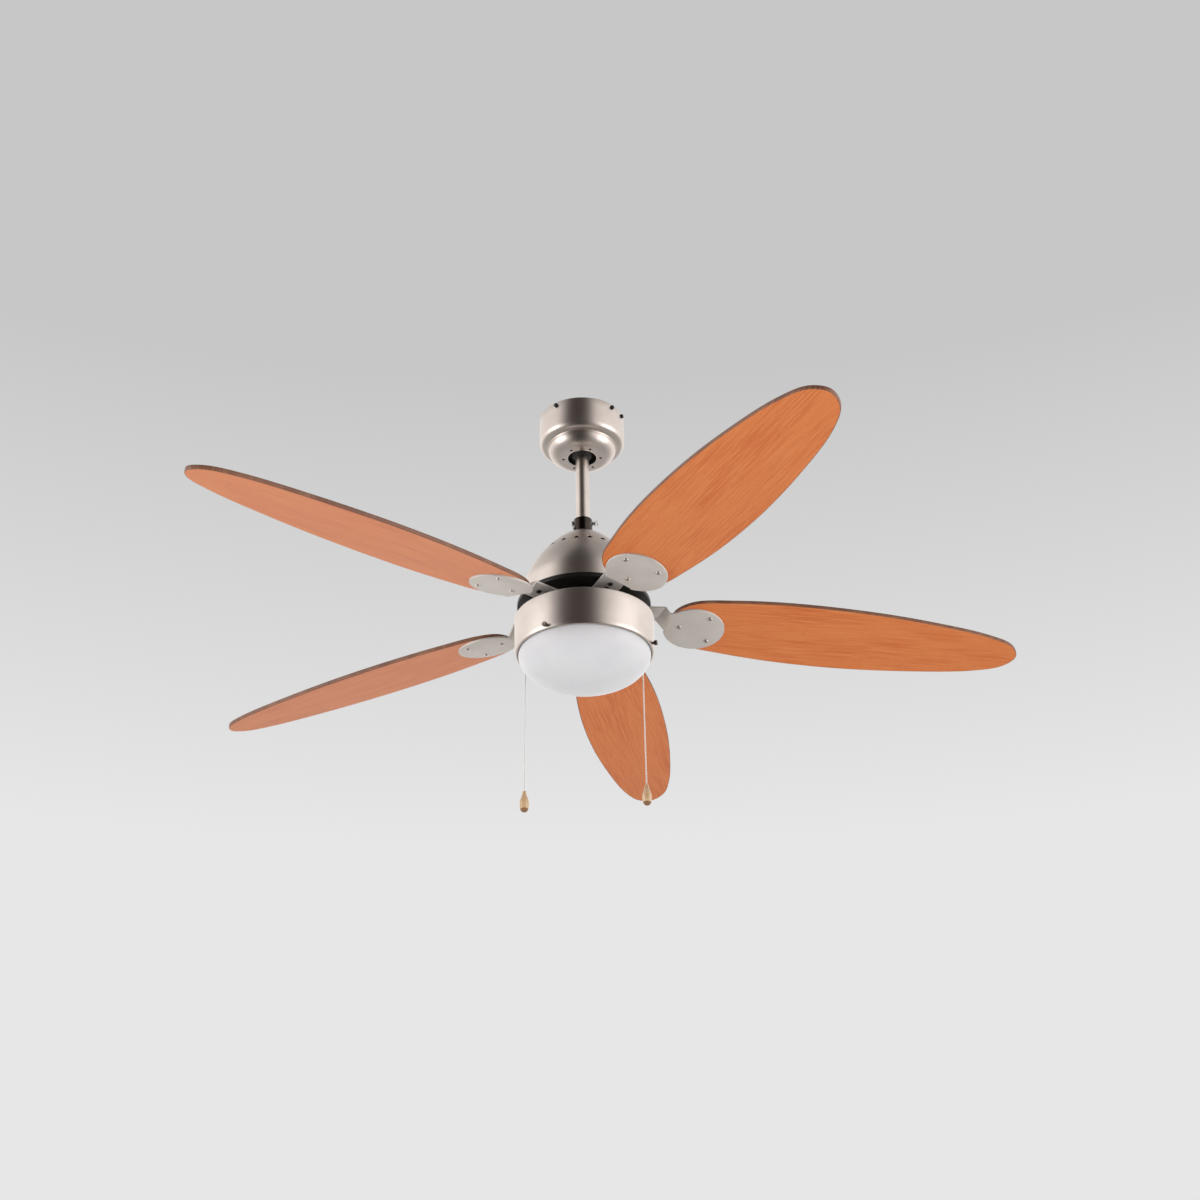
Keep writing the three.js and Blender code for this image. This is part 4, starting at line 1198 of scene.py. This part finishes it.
coated("black_enamel", rgb(9, 8, 7), rgb(16, 14, 12), (0.42, 0.55), 300, 0.00004, coat=0.08, specular=0.35)
# Painted shade: a dark lining for the insides of the canopy and the dome.
coated("primer", rgb(34, 32, 30), rgb(44, 41, 38), (0.7, 0.8), 700, 0.00004, specular=0.2)
coated("black_plastic", rgb(22, 21, 20), rgb(34, 32, 30), (0.45, 0.62), 1400, 0.00004)
coated("nylon", rgb(216, 212, 202), rgb(228, 224, 215), (0.4, 0.55), 900, 0.00003)
coated("white_paint", rgb(232, 230, 225), rgb(240, 238, 234), (0.25, 0.4), 260, 0.00003, coat=0.3)
coated("porcelain", rgb(236, 233, 226), rgb(244, 242, 237), (0.12, 0.22), 120, 0.00003, coat=0.8)
coated("frosted_lamp", rgb(244, 240, 232), rgb(250, 248, 243), (0.3, 0.42), 1200, 0.00001)
opal = coated("opal_glass", rgb(217, 217, 221), rgb(223, 223, 226), (0.35, 0.45), 60, 0.00002,
              coat=0.1, specular=0.3)
opal.inputs["Subsurface Weight"].default_value = 0.25
opal.inputs["Subsurface Radius"].default_value = (0.01, 0.01, 0.01)
opal.inputs["Subsurface Scale"].default_value = 1
print("paint, plastic and glass are ready")

# %% [markdown]
# ## Wood
#
# The underside of each blade is red-brown cherry foil under satin lacquer. Broad figure, thin
# streaks and short pores come from one group at three scales. The top is a much darker foil, and
# the routed edge lies between the two. The pendants are solid pale wood, with the grain along them.


# %% Wood
# The sockets of a Mix node that mixes colours.
FACTOR, UNDER, OVER, MIXED = 0, 6, 7, 2


def laid_over(tree, under, over, grain, effect, start, end, amount=1.0):
    """Lays a colour over another where an effect of the grain runs from start to end."""
    mix = tree.nodes.new("ShaderNodeMix")
    mix.data_type = "RGBA"
    wire(tree, mapped(tree, grain, effect, 0, amount, start, end), 0, mix, FACTOR)
    tree.links.new(under, mix.inputs[UNDER])
    mix.inputs[OVER].default_value = over
    return mix.outputs[MIXED]


def grained(tree, source, output):
    """The wood grain, placed in a material along a vector."""
    grain = tree.nodes.new("ShaderNodeGroup")
    grain.node_tree = GRAIN
    wire(tree, source, output, grain, "Place")
    return grain


def foil(slot, deep, middle, light, pore, roughness):
    """Printed wood foil that reads the board's own grain map."""
    tree, shader = fresh_tree(slot)
    shader.inputs["Specular IOR Level"].default_value = 0.38
    shader.inputs["Coat Weight"].default_value = 0.08
    shader.inputs["Coat Roughness"].default_value = 0.25
    place = tree.nodes.new("ShaderNodeUVMap")
    place.uv_map = "grain"
    grain = grained(tree, place, 0)
    colour = two_colours(tree, grain, "Figure", deep, middle, 0.3, 0.6).outputs[0]
    colour = laid_over(tree, colour, light, grain, "Streaks", 0.42, 0.62)
    colour = laid_over(tree, colour, pore, grain, "Pores", 0.6, 0.72, amount=0.5)
    tree.links.new(colour, shader.inputs["Base Color"])
    wire(tree, mapped(tree, grain, "Streaks", *roughness), 0, shader, "Roughness")
    bumped(tree, shader, grain, "Pores", -0.00002, 0.3)


foil("cherry_wood", rgb(199, 101, 46), rgb(211, 118, 60), rgb(216, 128, 71), rgb(165, 79, 36), (0.42, 0.52))
foil("board_top", rgb(46, 28, 20), rgb(72, 44, 30), rgb(90, 58, 40), rgb(30, 18, 12), (0.4, 0.55))
foil("board_edge", rgb(104, 66, 50), rgb(128, 86, 66), rgb(140, 98, 76), rgb(84, 50, 38), (0.45, 0.6))


def turned_wood():
    """Solid pale wood with upright grain and a thin lacquer."""
    tree, shader = fresh_tree("pale_wood")
    shader.inputs["Coat Weight"].default_value = 0.3
    shader.inputs["Coat Roughness"].default_value = 0.2
    turn = tree.nodes.new("ShaderNodeMapping")
    turn.inputs["Rotation"].default_value = (0, math.pi / 2, 0)
    turn.inputs["Scale"].default_value = (4, 4, 4)
    wire(tree, tree.nodes.new("ShaderNodeTexCoord"), "Object", turn, "Vector")
    grain = grained(tree, turn, 0)
    colour = two_colours(tree, grain, "Streaks", rgb(176, 136, 96), rgb(222, 192, 152), 0.3, 0.65)
    wire(tree, colour, 0, shader, "Base Color")
    skinned(tree, shader, grain, "Streaks", (0.42, 0.3), 0.00005, strength=0.3)


turned_wood()
coated("wood_end", rgb(120, 84, 54), rgb(140, 100, 66), (0.5, 0.6), 900, 0.00003)
print("wood is ready")

# %% [markdown]
# ## Finishes on the frame's own parts
#
# Parts inside the motor and the drum keep the frame's shape, because it is right already. Each has
# a slot named after its finish, so one loop dresses them all.

# %% Finishes on the frame's own parts
# Painted shade: the ceiling bracket inside the canopy wears black enamel, so the canopy's mouth shows
# black.
for part in frame["nodes"].values():
    for slot in part.material_slots:
        slot.material = finish_of(slot.name.split(".")[0])
dressed = sorted({slot.name for part in frame["nodes"].values() for slot in part.material_slots})
print("dressed with", ", ".join(dressed))

# %% [markdown]
# ## Floor and lamps
#
# The room is plain: a pale floor and three large soft boxes, left, right and below. Bright metal
# mirrors only the two boxes at the sides. The floor, the box below, the blades and their irons are
# hidden from reflections, so nothing but soft light runs over the covers.

# %% Floor and lamps
FLOOR = -3
FLOOR_HALF = 20


def pale_floor():
    """A large plain floor under the fan."""
    bm = bmesh.new()
    place = Matrix.Translation((0, 0, FLOOR))
    bmesh.ops.create_grid(bm, x_segments=1, y_segments=1, size=FLOOR_HALF, matrix=place)
    mesh = bpy.data.meshes.new("floor")
    bm.to_mesh(mesh)
    bm.free()
    mesh.materials.append(finish_of("floor"))
    floor = bpy.data.objects.new("floor", mesh)
    bpy.context.scene.collection.objects.link(floor)
    floor.visible_glossy = False


def soft_box(name, place, target, width, height, power, mirrored=True):
    """A large area light that faces a target, and that bright metal mirrors or not."""
    light = bpy.data.lights.new(name, "AREA")
    light.shape = "RECTANGLE"
    light.size, light.size_y = width, height
    light.energy = power
    lamp = bpy.data.objects.new(name, light)
    lamp.location = place
    lamp.visible_glossy = mirrored
    lamp.rotation_mode = "QUATERNION"
    lamp.rotation_quaternion = (Vector(target) - Vector(place)).to_track_quat("-Z", "Y")
    bpy.context.scene.collection.objects.link(lamp)


coated("floor", rgb(213, 213, 212), rgb(218, 218, 217), (0.6, 0.7), 40, 0.0001)
pale_floor()
AIM = (0, 0, HUB * MM)
for name, side in (("box_left", -1), ("box_right", 1)):
    soft_box(name, (2.6 * side, -0.9, -0.7), AIM, width=1.6, height=2.6, power=31)
soft_box("box_below", (0, -1.6, -2.3), AIM, width=3.0, height=1.6, power=27.5, mirrored=False)
print("the floor is", round(HUB * MM - FLOOR, 2), "m below the blades")

# %% [markdown]
# ## The studio's walls
#
# Bright covers show what stands round them. The wall behind the viewer is dark, which draws the
# dark band down the middle of each cover. What they mirror is brightest at the fan's own level and
# dimmer straight above and below. The walls are the world's colour, so they cost nothing and never
# block another view, and the eye itself sees a pale backdrop instead of them, with painted shade
# that makes it darker upwards.

# %% The studio's walls
DARK_SIDE = math.radians(-11)
WALL = 0.8
GLOSS_GAIN = 0.5


def wall_colour(tree, parts):
    """Warm white walls, with a dark one behind the viewer."""
    towards = tree.nodes.new("ShaderNodeVectorMath")
    towards.operation = "DOT_PRODUCT"
    towards.inputs[1].default_value = (math.sin(DARK_SIDE), -math.cos(DARK_SIDE), 0)
    wire(tree, level_part(tree, parts, "NORMALIZE"), 0, towards, 0)
    return two_colours(tree, towards, "Value", (1, 0.985, 0.97, 1), (0.035, 0.026, 0.022, 1), 0.63, 0.88)


def wall_strength(tree, parts, rays):
    """How bright the walls are: the same everywhere as light, and by height as a reflection."""
    high = mapped(tree, parts, "Z", GLOSS_GAIN, -0.35, 0.5, 0.95)
    low = mapped(tree, parts, "Z", 0, -WALL, -0.1, -0.55)
    gain = tree.nodes.new("ShaderNodeMath")
    gain.operation = "ADD"
    wire(tree, high, 0, gain, 0)
    wire(tree, low, 0, gain, 1)
    strength = tree.nodes.new("ShaderNodeMath")
    strength.operation = "MULTIPLY_ADD"
    wire(tree, rays, "Is Glossy Ray", strength, 0)
    wire(tree, gain, 0, strength, 1)
    strength.inputs[2].default_value = WALL
    return strength


def studio():
    """The world: walls that light the fan, and a backdrop that only the eye sees."""
    world = bpy.data.worlds.new("studio")
    bpy.context.scene.world = world
    world.use_nodes = True
    tree = world.node_tree
    tree.nodes.clear()
    end = tree.nodes.new("ShaderNodeOutputWorld")
    rays = tree.nodes.new("ShaderNodeLightPath")
    parts = split_place(tree, "Generated")
    walls = tree.nodes.new("ShaderNodeBackground")
    wire(tree, wall_colour(tree, parts), 0, walls, "Color")
    wire(tree, wall_strength(tree, parts, rays), 0, walls, "Strength")
    backdrop = tree.nodes.new("ShaderNodeBackground")
    # Painted shade: the backdrop darkens from pale grey below to a darker grey above.
    shade = two_colours(tree, parts, "Z", rgb(231, 231, 231), rgb(199, 199, 199), 0.34, 0.6)
    wire(tree, shade, 0, backdrop, "Color")
    choice = tree.nodes.new("ShaderNodeMixShader")
    wire(tree, rays, "Is Camera Ray", choice, 0)
    wire(tree, walls, 0, choice, 1)
    wire(tree, backdrop, 0, choice, 2)
    wire(tree, choice, 0, end, "Surface")


studio()
bpy.context.scene.view_settings.view_transform = "Standard"
print("the dark wall is turned", round(math.degrees(DARK_SIDE)), "degrees from the viewer")
